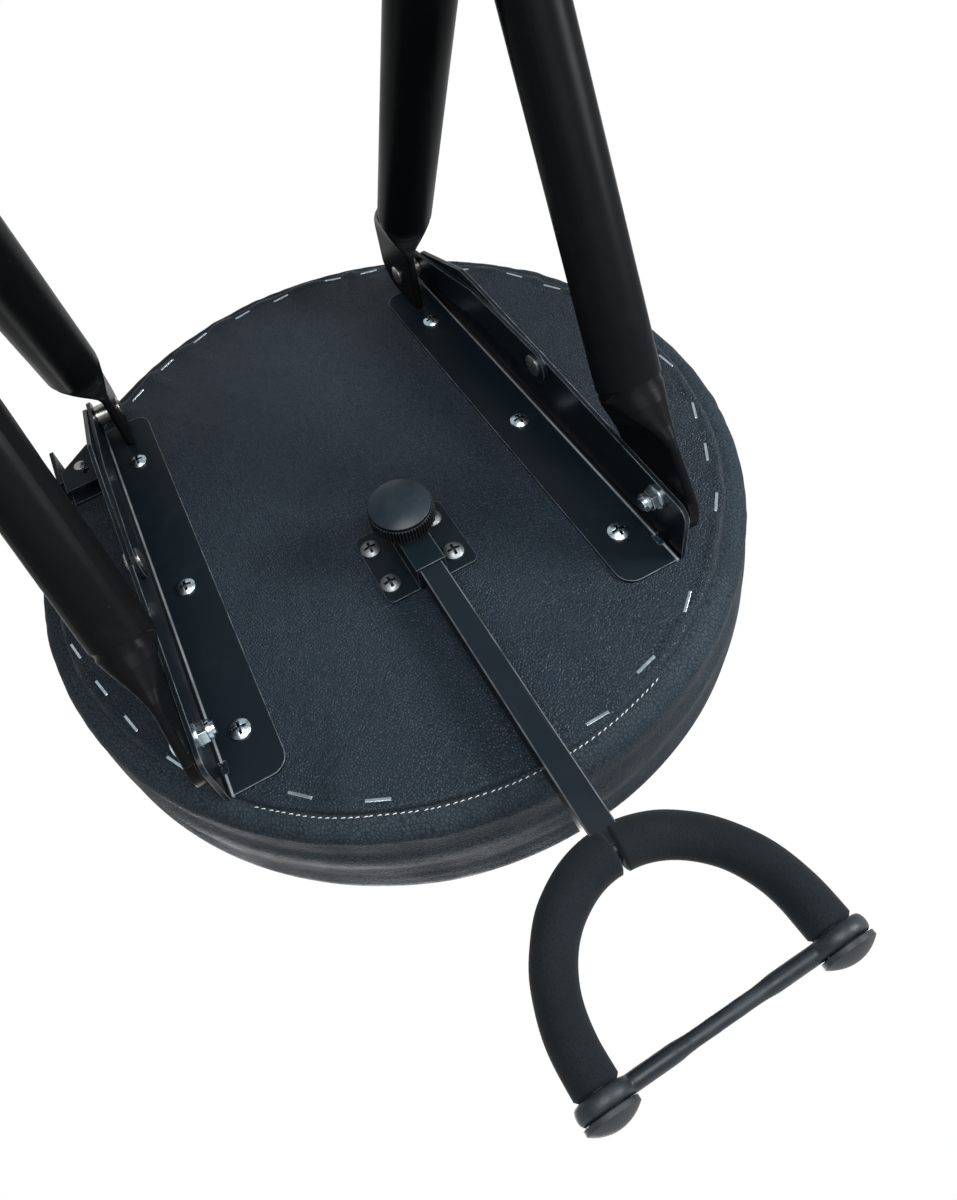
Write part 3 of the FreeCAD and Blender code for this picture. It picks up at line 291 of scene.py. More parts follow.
def bar_paint():
    """Gloss black bar with a few fine scratches along its length, where it slides, painted shade on its side faces, and
    rounded corners painted lighter, partly as worn edges and partly as a painted highlight.
    """
    shader = Shader("bar_paint", roughness=0.26, specular=0.13)
    rounded = shader.soft_edges(0.6 * MM)
    streaks = shader.noise(1.0, 2.0, 0.5, shader.stretched((9.0, 1500.0, 1500.0)))
    scratch = shader.ramp(streaks, 0.70, 0.76)
    patch = shader.ramp(shader.noise(26.0, 2.0), 0.46, 0.60)
    shader.join(rounded, "Normal")
    facing = shader.facing()
    sideways = shader.math("ABSOLUTE", facing["Y"], 0.0)
    # Rounded corners: painted lighter in patches, partly rubbed wear and partly a painted highlight.
    corner = shader.ramp(shader.math("MULTIPLY", sideways, shader.math("ABSOLUTE", facing["Z"], 0.0)),
                         0.20, 0.44)
    tone = shader.blend(shader.math("MULTIPLY", scratch, patch), (0.0046, 0.0074, 0.0102), (0.080, 0.092, 0.100))
    # Painted shade: the bar's side faces get a darker colour.
    tone = shader.blend(shader.ramp(sideways, 0.80, 0.98), tone, (0.0035, 0.0050, 0.0065))
    rub = shader.ramp(shader.noise(90.0, 4.0, 0.6), 0.35, 0.60, 0.35, 1.0)
    shader.join(shader.blend(shader.math("MULTIPLY", corner, rub), tone, (0.075, 0.085, 0.092)), "Base Color")
    shader.join(shader.ramp(shader.noise(40.0, 4.0), 0.3, 0.7, 0.22, 0.34), "Roughness")
    return shader.material


def plated(name, colour, roughness, tarnish):
    """Plated steel with a slightly cloudy skin and painted shade in its hollows."""
    shader = Shader(name, metallic=1.0, roughness=roughness)
    shader.join(shader.soft_edges(0.25 * MM), "Normal")
    cloud = shader.ramp(shader.noise(240.0, 3.0, 0.6), 0.42, 0.72)
    tone = shader.blend(cloud, colour, tarnish)
    # Painted shade: narrow hollows, such as the screws' recesses, are darkened almost to black.
    shader.join(shader.blend(shader.ramp(shader.open_air(1.6 * MM), 0.60, 0.92), (0.012, 0.014, 0.016), tone),
                "Base Color")
    shader.join(shader.ramp(cloud, 0.0, 1.0, roughness - 0.05, roughness + 0.10), "Roughness")
    return shader.material


def foam_rubber():
    """Fine-cell foam sleeve, matt, with open pores and handling marks."""
    shader = Shader("foam_rubber", roughness=0.86, specular=0.12)
    shader.set("Sheen Weight", 0.03)
    shader.set("Sheen Roughness", 0.5)
    pores = shader.ramp(shader.cells(1500.0, "F1"), 0.15, 0.55)
    lumps = shader.noise(420.0, 3.0, 0.6)
    height = shader.math("ADD", pores, shader.math("MULTIPLY", lumps, 0.8))
    shader.join(shader.bump(height, 0.10 * MM, 0.7), "Normal")
    worn = shader.ramp(shader.noise(40.0, 4.0, 0.6), 0.35, 0.75)
    tone = shader.blend(worn, (0.0024, 0.0042, 0.0060), (0.0046, 0.0074, 0.0098))
    # Painted shade: the middles of the pores are darker.
    shader.join(shader.blend(shader.ramp(pores, 0.0, 0.6), (0.0020, 0.0028, 0.0036), tone), "Base Color")
    return shader.material


def moulded(name, colour, roughness):
    """Moulded rubber or plastic: a fine spark texture with a little bloom."""
    shader = Shader(name, roughness=roughness, specular=0.25)
    rounded = shader.soft_edges(0.5 * MM)
    spark = shader.noise(2200.0, 2.0, 0.5)
    shader.join(shader.bump(spark, 0.03 * MM, 0.6, rounded), "Normal")
    bloom = shader.ramp(shader.noise(90.0, 4.0, 0.65), 0.40, 0.75)
    shader.join(shader.blend(bloom, colour, tuple(1.7 * c + 0.006 for c in colour)), "Base Color")
    shader.join(shader.ramp(bloom, 0.0, 1.0, roughness - 0.05, roughness + 0.12), "Roughness")
    return shader.material


def knob_plastic():
    """Moulded knob: a satin dome, its gloss uneven in patches, painted lighter than its side, and a dark knurled band
    in painted shade, with painted glints on its teeth and painted shade in its grooves.
    """
    shader = Shader("knob_plastic", roughness=0.38, specular=0.20)
    rounded = shader.soft_edges(0.35 * MM)
    spark = shader.noise(2400.0, 2.0, 0.5)
    shader.join(shader.bump(spark, 0.02 * MM, 0.5, rounded), "Normal")
    facing = shader.facing()
    # Painted light: faces turned down to the dome get the lighter colour and the sideways band the darker one, as lit
    # and shaded.
    dome = shader.ramp(facing["Z"], -0.12, -0.45)
    bloom = shader.ramp(shader.noise(120.0, 4.0, 0.65), 0.35, 0.75)
    face = shader.blend(bloom, (0.0046, 0.0082, 0.0122), (0.0080, 0.0130, 0.0180))
    # Painted glints: the knurl's edges are lighter.
    teeth = shader.blend(shader.edge_mask(rounded), (0.0008, 0.0011, 0.0015), (0.042, 0.049, 0.055))
    # Painted shade: the knurl's grooves are darkened almost to black.
    band = shader.blend(shader.ramp(shader.open_air(1.2 * MM), 0.62, 0.90), (0.0008, 0.0010, 0.0012), teeth)
    shader.join(shader.blend(dome, band, face), "Base Color")
    shader.join(shader.ramp(bloom, 0.0, 1.0, 0.32, 0.44), "Roughness")
    return shader.material


def plywood():
    """Raw plywood with its plies along the edge."""
    shader = Shader("plywood_board", roughness=0.7)
    grain = shader.noise(1.0, 4.0, 0.6, shader.stretched((20.0, 320.0, 600.0)))
    shader.join(shader.blend(grain, (0.36, 0.24, 0.13), (0.62, 0.47, 0.30)), "Base Color")
    shader.join(shader.bump(grain, 0.1 * MM, 0.4), "Normal")
    return shader.material


def sewing_thread():
    """Twisted sewing thread."""
    shader = Shader("sewing_thread", roughness=0.7)
    twist = shader.noise(1800.0, 2.0)
    shader.join(shader.blend(twist, (0.24, 0.26, 0.28), (0.50, 0.52, 0.54)), "Base Color")
    shader.join(shader.bump(twist, 0.05 * MM, 0.6), "Normal")
    return shader.material


def studio_floor():
    """Pale floor with a trace of unevenness."""
    shader = Shader("studio_floor", roughness=0.8, specular=0.2)
    shader.join(shader.blend(shader.noise(3.0, 3.0), (0.80, 0.80, 0.80), (0.84, 0.84, 0.84)), "Base Color")
    return shader.material


# The seat's skin and the bottom cover are the same black vinyl; the seat's copy is painted lighter, as painted light on
# its rim.
SEAT_VINYL = vinyl_material("seat_vinyl", (0.0150, 0.0212, 0.0270), (0.0255, 0.0345, 0.0425),
                            620.0, 0.18 * MM, 0.012, 0.0)
BOTTOM_VINYL = vinyl_material("bottom_vinyl", (0.0054, 0.0112, 0.0180), (0.0104, 0.0190, 0.0285),
                              820.0, 0.30 * MM, 0.15, 0.03)
FRAME_PAINT = powder_coat("frame_paint", (0.0032, 0.0037, 0.0041), 0.30, 0.018, 0.002, (0.030, 0.031, 0.032))
RAIL_TONE = (0.0030, 0.0058, 0.0083)
# Bare-steel colour of the rails' rubbed edges, also used for the painted highlight along the bend.
RAIL_BARE_AND_HIGHLIGHT = (0.150, 0.172, 0.186)
RAIL_PAINT = powder_coat("rail_paint", RAIL_TONE, 0.32, 0.14, 0.004, RAIL_BARE_AND_HIGHLIGHT, bent=True)
PLATE_BARE = (0.088, 0.101, 0.110)
PLATE_PAINT = powder_coat("plate_paint", RAIL_TONE, 0.32, 0.12, 0.004, PLATE_BARE)
BAR_PAINT = bar_paint()
ZINC = plated("zinc_plate", (0.52, 0.62, 0.69), 0.26, (0.38, 0.46, 0.52))
NICKEL = plated("nickel_plate", (0.17, 0.19, 0.20), 0.50, (0.12, 0.135, 0.145))
RIVET = plated("rivet_steel", (0.42, 0.42, 0.41), 0.30, (0.26, 0.26, 0.25))
FOAM = foam_rubber()
RUBBER = moulded("black_rubber", (0.009, 0.011, 0.013), 0.50)
STRAP_RUBBER = moulded("strap_rubber", (0.0060, 0.0090, 0.0116), 0.45)
KNOB = knob_plastic()
THREAD = sewing_thread()

NODE_MATERIALS = {
    FRAME_PAINT: ["inner_leg_right", "inner_leg_left", "outer_leg_right", "outer_leg_left", "footrest_bar",
                  "brace_bar"],
    RAIL_PAINT: ["rail_right", "rail_left"],
    PLATE_PAINT: ["link_right", "link_left", "lock_bracket", "lock_lever", "clamp_bracket", "clamp_nut"],
    BAR_PAINT: ["hanger_bar", "yoke_rod"],
    ZINC: ["rail_screws", "pivot_bolts", "pivot_washers", "pivot_nuts", "cross_bolts", "cross_spacers", "cross_nuts",
           "staples"],
    NICKEL: ["clamp_screws"],
    RIVET: ["rail_rivets", "link_studs", "leg_rivets", "leg_bushes", "lock_rivet", "lock_spring", "clamp_stud"],
    RUBBER: ["end_cap_right", "end_cap_left", "inner_foot_caps", "outer_foot_caps"],
    KNOB: ["clamp_knob"],
    plywood(): ["seat_board"],
}


def paint_nodes():
    """Give every shown CAD node its material."""
    for material, names in NODE_MATERIALS.items():
        for name in names:
            slots = NODES[name].data.materials
            slots.clear()
            slots.append(material)


# Mesh helpers

def new_piece(name, points, faces, material, body):
    """Mesh object from points and faces, riding on a body."""
    mesh = bpy.data.meshes.new(name)
    mesh.from_pydata([tuple(p) for p in points], [], faces)
    mesh.update()
    piece = bpy.data.objects.new(name, mesh)
    bpy.context.scene.collection.objects.link(piece)
    finish_piece(piece, material)
    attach(piece, body)
    return piece


def finish_piece(piece, material):
    """Smooth shading, outward normals and one material."""
    tidy = bmesh.new()
    tidy.from_mesh(piece.data)
    bmesh.ops.recalc_face_normals(tidy, faces=tidy.faces)
    tidy.to_mesh(piece.data)
    tidy.free()
    piece.data.materials.clear()
    piece.data.materials.append(material)
    for face in piece.data.polygons:
        face.use_smooth = True


def bake_modifiers(piece):
    """Replace a piece's mesh by what its modifiers make of it."""
    graph = bpy.context.evaluated_depsgraph_get()
    mesh = bpy.data.meshes.new_from_object(piece.evaluated_get(graph))
    old = piece.data
    piece.modifiers.clear()
    piece.data = mesh
    bpy.data.meshes.remove(old)


def rings_to_faces(rings, segments, closed_start=False, closed_end=False):
    """Quads between rings of points, with one face over an end where asked."""
    faces = []
    for ring in range(rings - 1):
        for k in range(segments):
            a = ring * segments + k
            b = ring * segments + (k + 1) % segments
            faces.append((a, b, b + segments, a + segments))
    if closed_start:
        faces.append(tuple(range(segments - 1, -1, -1)))
    if closed_end:
        first = (rings - 1) * segments
        faces.append(tuple(range(first, first + segments)))
    return faces


def smooth_step(low, high, value):
    """Ease from 0 at low to 1 at high."""
    share = min(1.0, max(0.0, (value - low) / (high - low)))
    return share * share * (3 - 2 * share)


def wave(x, y=0.0, z=0.0):
    """Smooth noise from about -1 to 1."""
    return noise.noise(Vector((x, y, z)))


# Seat

def arc_points(start, mid, end, count):
    """Points on the arc through three (radius, height) points, without the first."""
    (ax, ay), (bx, by), (cx, cy) = start, mid, end
    d = 2 * (ax * (by - cy) + bx * (cy - ay) + cx * (ay - by))
    ux = ((ax * ax + ay * ay) * (by - cy) + (bx * bx + by * by) * (cy - ay) + (cx * cx + cy * cy) * (ay - by)) / d
    uy = ((ax * ax + ay * ay) * (cx - bx) + (bx * bx + by * by) * (ax - cx) + (cx * cx + cy * cy) * (bx - ax)) / d
    radius = math.hypot(ax - ux, ay - uy)
    first = math.atan2(ay - uy, ax - ux)
    sweep = math.atan2(cy - uy, cx - ux) - first
    sweep = (sweep + math.pi) % (2 * math.pi) - math.pi
    return [(ux + radius * math.cos(first + sweep * k / count), uy + radius * math.sin(first + sweep * k / count))
            for k in range(1, count + 1)]


def skin_profile(inset):
    """Half section of the cushion, (radius, height) from the underside's middle round to the crown's middle."""
    radius = SEAT_RADIUS - inset
    base = HEM_Z
    top = SEAT_THICKNESS - inset
    rim = radius - RIM_INSET
    shoulder = top - SHOULDER_DROP
    edge = radius - 0.75 * SHOULDER_DROP
    ball = (edge * edge + CROWN_DROP * CROWN_DROP) / (2 * CROWN_DROP)
    corner = (1 - math.sqrt(0.5)) * RIM_RADIUS
    flat = rim - RIM_RADIUS
    points = [(flat * k / 26, base) for k in range(3, 27)]
    points += arc_points((flat, base), (rim - corner, base + corner), (rim, base + RIM_RADIUS), 6)
    points += arc_points((rim, base + RIM_RADIUS), (radius - 0.6 * MM, (base + RIM_RADIUS + shoulder) / 2),
                         (radius, shoulder), 14)
    bulge = (radius - 0.22 * SHOULDER_DROP, shoulder + 0.68 * (SHOULDER_DROP - CROWN_DROP))
    points += arc_points((radius, shoulder), bulge, (edge, top - CROWN_DROP), 10)
    half = ball - math.sqrt(ball * ball - edge * edge / 4)
    points += arc_points((edge, top - CROWN_DROP), (edge / 2, top - half), (0.0, top), 26)[:-2]
    return points


def swell(piece, pinned):
    """Blow the cushion up a little as a cloth bag over its foam, and cap how far any point moves."""
    start = [v.co.copy() for v in piece.data.vertices]
    group = piece.vertex_groups.new(name="held")
    group.add(pinned, 1.0, "REPLACE")
    cloth = piece.modifiers.new("cloth", "CLOTH")
    settings = cloth.settings
    settings.quality = 6
    settings.mass = 0.25
    settings.tension_stiffness = 25.0
    settings.compression_stiffness = 25.0
    settings.shear_stiffness = 12.0
    settings.bending_stiffness = 2.0
    settings.use_pressure = True
    settings.uniform_pressure_force = CLOTH_PRESSURE
    settings.vertex_group_mass = "held"
    settings.effector_weights.gravity = 0.0
    cloth.point_cache.frame_start = 1
    cloth.point_cache.frame_end = CLOTH_FRAMES
    for step in range(1, CLOTH_FRAMES + 1):
        bpy.context.scene.frame_set(step)
    bake_modifiers(piece)
    bpy.context.scene.frame_set(1)
    piece.vertex_groups.clear()
    for vertex, rest in zip(piece.data.vertices, start):
        move = vertex.co - rest
        length = move.length
        if length > 0:
            vertex.co = rest + move * (SWELL_LIMIT * math.tanh(length / SWELL_LIMIT) / length)


def wrinkle_skin(piece):
    """Small folds of the vinyl: pleats round the lower rim, slack bands on the side, a soft top."""
    shoulder = SEAT_THICKNESS - SHOULDER_DROP
    for vertex in piece.data.vertices:
        out = Vector((vertex.co.x - SEAT.x, vertex.co.y - SEAT.y, 0.0))
        radius = out.length
        height = vertex.co.z - UNDER_Z
        if radius < 1e-6:
            continue
        out /= radius
        angle = math.atan2(out.y, out.x)
        run = angle * SEAT_RADIUS / MM
        on_side = smooth_step(SEAT_RADIUS - 12 * MM, SEAT_RADIUS - 3 * MM, radius)
        on_band = smooth_step(SEAT_RADIUS - 14 * MM, SEAT_RADIUS - 8 * MM, radius)
        low = 1 - smooth_step(3 * MM, 20 * MM, height)
        circle = Vector((math.cos(angle), math.sin(angle), 0.0)) * SEAT_RADIUS / MM
        fine = wave(circle.x * 0.16, circle.y * 0.16, height / MM * 0.03)
        pleat = max(0.0, wave(circle.x * 0.055, circle.y * 0.055, 7.3) - 0.22)
        slack = wave(circle.x * 0.012, circle.y * 0.012, height / MM * 0.16 + 3.1)
        bands = math.sin(height / MM * 0.30 + 2.2 * wave(circle.x * 0.01, circle.y * 0.01, 1.7))
        side_move = on_side * ((0.28 * fine + 1.5 * pleat) * low * MM
                               + (0.55 * slack + 0.38 * bands) * smooth_step(4 * MM, 14 * MM, height)
                               * (1 - smooth_step(shoulder - 6 * MM, shoulder + 10 * MM, height)) * MM)
        vertex.co += out * side_move
        under = 1 - smooth_step(2 * MM, 6 * MM, height)
        if under > 0 and radius > SEAT_RADIUS - 16 * MM:
            vertex.co.z -= under * on_band * (0.22 * fine + 1.1 * pleat) * MM
        top = smooth_step(shoulder - 4 * MM, shoulder + 12 * MM, height)
        vertex.co.z += top * MM * (0.9 * wave(vertex.co.x * 14, vertex.co.y * 14, 2.0)
                                   + 0.25 * wave(run * 0.05, radius / MM * 0.03, 5.0) * smooth_step(0.10, 0.15, radius))


def seat_skin():
    """Vinyl cushion over the board and its foam."""
    profile = skin_profile(SKIN_SHRINK)
    turns = [2 * math.pi * k / SKIN_SEGMENTS for k in range(SKIN_SEGMENTS)]
    points = [SEAT + Vector((radius * math.cos(turn), radius * math.sin(turn), height))
              for radius, height in profile for turn in turns]
    faces = rings_to_faces(len(profile), SKIN_SEGMENTS, True, True)
    bag = new_piece("seat_bag", points, faces, SEAT_VINYL, "seat")
    flat_end = SEAT_RADIUS - SKIN_SHRINK - RIM_INSET
    held = [v.index for v in bag.data.vertices
            if v.co.z - UNDER_Z < HEM_Z + 0.6 * RIM_RADIUS and (v.co - SEAT).to_2d().length < flat_end + MM]
    swell(bag, held)
    grid = numpy.array([tuple(v.co) for v in bag.data.vertices]).reshape(len(profile), SKIN_SEGMENTS, 3)
    bpy.data.objects.remove(bag)
    grid = close_crown(finer_rows(finer_rows(grid, SKIN_FINER, 1, True), 2, 0, False))
    rings, segments, _ = grid.shape
    piece = new_piece("seat_skin", grid.reshape(-1, 3), rings_to_faces(rings, segments, True, True), SEAT_VINYL,
                      "seat")
    wrinkle_skin(piece)
    finish_piece(piece, SEAT_VINYL)
    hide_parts("seat_cover", "seat_pad")
    return piece


def finer_rows(grid, steps, axis, closed):
    """Put more rows between the rows of a grid of points along an axis, on smooth curves through them."""
    count = grid.shape[axis]
    last = count if closed else count - 1
    rows = []
    for k in range(last):
        near = [k - 1, k, k + 1, k + 2]
        near = [i % count if closed else min(max(i, 0), count - 1) for i in near]
        a, b, c, d = (numpy.take(grid, i, axis) for i in near)
        for step in range(steps):
            t = step / steps
            rows.append(0.5 * (2 * b + (c - a) * t + (2 * a - 5 * b + 4 * c - d) * t * t
                               + (3 * b - a - 3 * c + d) * t * t * t))
    if not closed:
        rows.append(numpy.take(grid, count - 1, axis))
    return numpy.stack(rows, axis)


def close_crown(grid):
    """Carry the last ring in to the crown's middle."""
    ring = grid[-1]
    middle = ring.mean(axis=0)
    inner = [middle + (ring - middle) * share for share in (0.8, 0.6, 0.4, 0.2, 0.04)]
    return numpy.concatenate([grid, numpy.stack(inner)])


def staple_spots():
    """Middle of each staple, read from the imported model, in polar form round the seat."""
    mesh = bmesh.new()
    mesh.from_mesh(NODES["staples"].data)
    bmesh.ops.remove_doubles(mesh, verts=mesh.verts, dist=1e-6)
    left = set(mesh.verts)
    spots = []
    while left:
        group = [left.pop()]
        found = list(group)
        while group:
            for edge in group.pop().link_edges:
                for vertex in edge.verts:
                    if vertex in left:
                        left.remove(vertex)
                        group.append(vertex)
                        found.append(vertex)
        middle = sum((v.co for v in found), Vector()) / len(found) - SEAT
        spots.append((math.atan2(middle.y, middle.x), math.hypot(middle.x, middle.y)))
    mesh.free()
    return sorted(spots)


def nearest_staple(angle, spots):
    """Distance round the seat's edge to the nearest staple, and that staple's radius."""
    turn, radius = min((abs((angle - spot + math.pi) % (2 * math.pi) - math.pi), radius) for spot, radius in spots)
    return turn * BOTTOM_RADIUS, radius


def clear_of_irons(x, y):
    """1 where the bottom cover lies free, 0 where a rail or the clamp presses on it."""
    free = 1.0
    for low, high in IRONS:
        dx = max(low.x - x, 0.0, x - high.x)
        dy = max(low.y - y, 0.0, y - high.y)
        free = min(free, smooth_step(0.5 * MM, 9 * MM, math.hypot(dx, dy)))
    return free


def under_yoke(x, y):
    """1 where the yoke passes under the bottom cover when the hanger is pushed in, else 0."""
    ahead = smooth_step(98 * MM, 108 * MM, x - SEAT.x)
    return ahead * (1 - smooth_step(50 * MM, 60 * MM, abs(y - SEAT.y)))


def bottom_skin(spots):
    """Vinyl bottom cover, drawn in by its staples and turned under round its edge."""
    radii = [BOTTOM_RADIUS * k / 40 for k in range(1, 30)]
    radii += [BOTTOM_RADIUS * (0.725 + 0.275 * k / 56) for k in range(1, 57)]
    nearest = [nearest_staple(2 * math.pi * k / COVER_SEGMENTS, spots) for k in range(COVER_SEGMENTS)]
    points = []
    for radius in radii:
        edge = smooth_step(0.80 * BOTTOM_RADIUS, 0.965 * BOTTOM_RADIUS, radius)
        hem = smooth_step(BOTTOM_RADIUS - 5.5 * MM, BOTTOM_RADIUS - 2.0 * MM, radius)
        roll = smooth_step(BOTTOM_RADIUS - 1.0 * MM, BOTTOM_RADIUS, radius)
        pull = smooth_step(0.60 * BOTTOM_RADIUS, 0.93 * BOTTOM_RADIUS, radius)
        for k in range(COVER_SEGMENTS):
            angle = 2 * math.pi * k / COVER_SEGMENTS
            x = SEAT.x + radius * math.cos(angle)
            y = SEAT.y + radius * math.sin(angle)
            gap, staple_radius = nearest[k]
            circle_x = math.cos(angle) * BOTTOM_RADIUS / MM
            circle_y = math.sin(angle) * BOTTOM_RADIUS / MM
            puff = PUCKER * edge * (smooth_step(4 * MM, 14 * MM, gap) - 0.25)
            gather = wave(circle_x * 0.10, circle_y * 0.10, radius / MM * 0.02)
            fine = wave(circle_x * 0.27, circle_y * 0.27, radius / MM * 0.05 + 4.0)
            sag = wave(x * 22, y * 22, 9.0) * 0.35 * MM * (1 - edge)
            lift = puff + pull * (0.50 * gather + 0.20 * fine) * MM + sag
            lift += hem * (0.35 + 0.65 * smooth_step(5 * MM, 11 * MM, gap)
                           * (0.5 + wave(circle_x * 0.09, circle_y * 0.09, 2.0))) * MM
            pinned = ((1 - smooth_step(STAPLE_HALF, STAPLE_HALF + 4 * MM, gap))
                      * (1 - smooth_step(0.8 * MM, 3.2 * MM, abs(radius - staple_radius))))
            depth = max(-0.35 * MM, lift) * clear_of_irons(x, y) * (1 - pinned) - 0.30 * MM * pinned
            depth -= under_yoke(x, y) * max(0.0, depth - YOKE_ROOM)
            z = UNDER_Z - depth * (1 - roll) + roll * 0.8 * VINYL
            wobble = hem * 0.8 * MM * wave(circle_x * 0.07, circle_y * 0.07, 8.0)
            scale = (radius + wobble) / radius
            points.append(Vector((SEAT.x + (x - SEAT.x) * scale, SEAT.y + (y - SEAT.y) * scale, z)))
    faces = rings_to_faces(len(radii), COVER_SEGMENTS, True, False)
    piece = new_piece("bottom_skin", points, faces, BOTTOM_VINYL, "seat")
    shell = piece.modifiers.new("thickness", "SOLIDIFY")
    shell.thickness = 0.7 * VINYL
    shell.offset = -1.0
    bake_modifiers(piece)
    finish_piece(piece, BOTTOM_VINYL)
    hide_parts("bottom_cover")
    return piece


STITCH_FROM = math.radians(-19.0)
STITCH_TO = math.radians(41.0)
STITCH_PITCH = 2.7 * MM
STITCH_LENGTH = 1.7 * MM
STITCH_RADIUS = 0.17 * MM
STITCH_OUT = 1.6 * MM


def stitch_row():
    """Row of machine stitches on the rim just outside the bottom cover's front edge."""
    ring = BOTTOM_RADIUS + STITCH_OUT
    count = int((STITCH_TO - STITCH_FROM) * ring / STITCH_PITCH)
    points = []
    faces = []
    around = 6
    stations = 5
    for index in range(count):
        middle = STITCH_FROM + (index + 0.5 + 0.35 * wave(1.9 * index)) * STITCH_PITCH / ring
        drift = 0.5 * MM * wave(0.11 * index, 6.0)
        first = len(points)
        for station in range(stations):
            share = station / (stations - 1) - 0.5
            angle = middle + share * STITCH_LENGTH / ring
            out = Vector((math.cos(angle), math.sin(angle), 0.0))
            sink = 0.5 * MM * (2 * share) ** 4
            sway = 0.35 * MM * share
            centre = SEAT + out * (ring + sway + drift) + Vector((0, 0, HEM_Z - 0.30 * MM + sink))
            for k in range(around):
                turn = 2 * math.pi * k / around
                points.append(centre + out * (STITCH_RADIUS * math.cos(turn))
                              + Vector((0, 0, STITCH_RADIUS * math.sin(turn))))
        faces += [tuple(first + i for i in face) for face in rings_to_faces(stations, around, True, True)]
    return new_piece("hem_stitches", points, faces, THREAD, "seat")


# Hanger

YOKE_RADIUS = 40.0 * MM
YOKE_SKEW = math.radians(3.0)
YOKE_CENTRE = Vector((SEAT.x + 230.0 * MM, SEAT.y, BAR_Z))
ARM_LENGTH = 7.0 * MM
SLEEVE_SLIT = 1.6 * MM
SLEEVE_STEPS = 84
SLEEVE_AROUND = 40
SLEEVE_ROUND = 1.0 * MM
SLEEVE_BORE = YOKE_ROD_RADIUS + 0.1 * MM


def yoke_turned(offset):
    """Turn an offset from the yoke's middle as the yoke is turned on its bar."""
    cos, sin = math.cos(YOKE_SKEW), math.sin(YOKE_SKEW)
    return Vector((offset.x * cos + offset.y * sin, offset.y * cos - offset.x * sin, offset.z))


def yoke_path(side, steps):
    """Points and directions along half of the yoke's middle line, from the slit at the bar to the arm's end."""
    gap = math.asin(SLEEVE_SLIT / 2 / YOKE_RADIUS)
    sweep = math.pi / 2 - gap + side * YOKE_SKEW
    bend = YOKE_RADIUS * sweep
    total = bend + ARM_LENGTH
    rows = []
    for k in range(steps + 1):
        run = total * k / steps
        turn = max(0.0, sweep - run / YOKE_RADIUS)
        place = Vector((max(0.0, run - bend) - YOKE_RADIUS * math.sin(turn), side * YOKE_RADIUS * math.cos(turn), 0.0))
        ahead = Vector((math.cos(turn), side * math.sin(turn), 0.0))
        rows.append((run, total, YOKE_CENTRE + yoke_turned(place), yoke_turned(ahead)))
    return rows


def sleeve(name, side, node):
    """Foam sleeve on half of the yoke, its ends rounded and its skin a little uneven."""
    rows = yoke_path(side, SLEEVE_STEPS)
    sections = []
    start = rows[0]
    end = rows[-1]
    sections.append((start[2], start[3], SLEEVE_BORE))
    for run, total, place, ahead in rows:
        from_end = min(run, total - run)
        tuck = 0.0
        if from_end < SLEEVE_ROUND:
            tuck = SLEEVE_ROUND - math.sqrt(SLEEVE_ROUND ** 2 - (SLEEVE_ROUND - from_end) ** 2)
        squeeze = 0.25 * MM * math.exp(-((run - 0.5 * total) / (0.3 * total)) ** 2)
        sections.append((place, ahead, FOAM_RADIUS - tuck - squeeze))
    sections.append((end[2], end[3], SLEEVE_BORE))
    sections += [(place, ahead, SLEEVE_BORE) for _, _, place, ahead in reversed(rows[1:-1])]
    points = []
    for place, ahead, radius in sections:
        across = Vector((-ahead.y, ahead.x, 0.0))
        for k in range(SLEEVE_AROUND):
            turn = 2 * math.pi * k / SLEEVE_AROUND
            out = across * math.cos(turn) + Vector((0, 0, math.sin(turn)))
            spot = place + out * radius
            uneven = 0.22 * MM * wave(spot.x * 90, spot.y * 90, spot.z * 90 + side) if radius > SLEEVE_BORE else 0.0
            points.append(place + out * (radius + uneven))
    faces = rings_to_faces(len(sections), SLEEVE_AROUND)
    last = (len(sections) - 1) * SLEEVE_AROUND
    faces += [(last + k, last + (k + 1) % SLEEVE_AROUND, (k + 1) % SLEEVE_AROUND, k) for k in range(SLEEVE_AROUND)]
    piece = new_piece(name, points, faces, FOAM, "hanger")
    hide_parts(node)
    return piece


STRAP_STEPS = 72
STRAP_AROUND = 24
STRAP_HALF_THICK = 3.7 * MM
STRAP_HALF_THIN = 2.3 * MM
STRAP_HALF_WIDTH = 2.5 * MM
STRAP_THICK_LENGTH = 17.0 * MM
NECK_RADIUS = 6.0 * MM
NECK_LENGTH = 5.4 * MM


def strap_point(mesh, x, y, z):
    """New corner of the strap's mesh, at an offset from the middle of the strap."""
    offset = Vector((ARM_LENGTH + NECK_LENGTH / 2 + x, y, z))
    return mesh.verts.new(YOKE_CENTRE + yoke_turned(offset))


def strap_ring(mesh, side, inner, outer):
    """Round-edged ring of the strap on one neck, added to a mesh."""
    section = []
    for k in range(12):
        turn = 2 * math.pi * k / 12
        section.append(((inner + outer) / 2 + (outer - inner) / 2 * math.cos(turn), STRAP_HALF_WIDTH * math.sin(turn)))
    around = 48
    rings = []
    for k in range(around):
        turn = 2 * math.pi * k / around
        rings.append([strap_point(mesh, offset, side * YOKE_RADIUS + radius * math.cos(turn),
                                  radius * math.sin(turn)) for radius, offset in section])
    for k in range(around):
        here, there = rings[k], rings[(k + 1) % around]
        for j in range(len(section)):
            mesh.faces.new((here[j], here[(j + 1) % len(section)], there[(j + 1) % len(section)], there[j]))


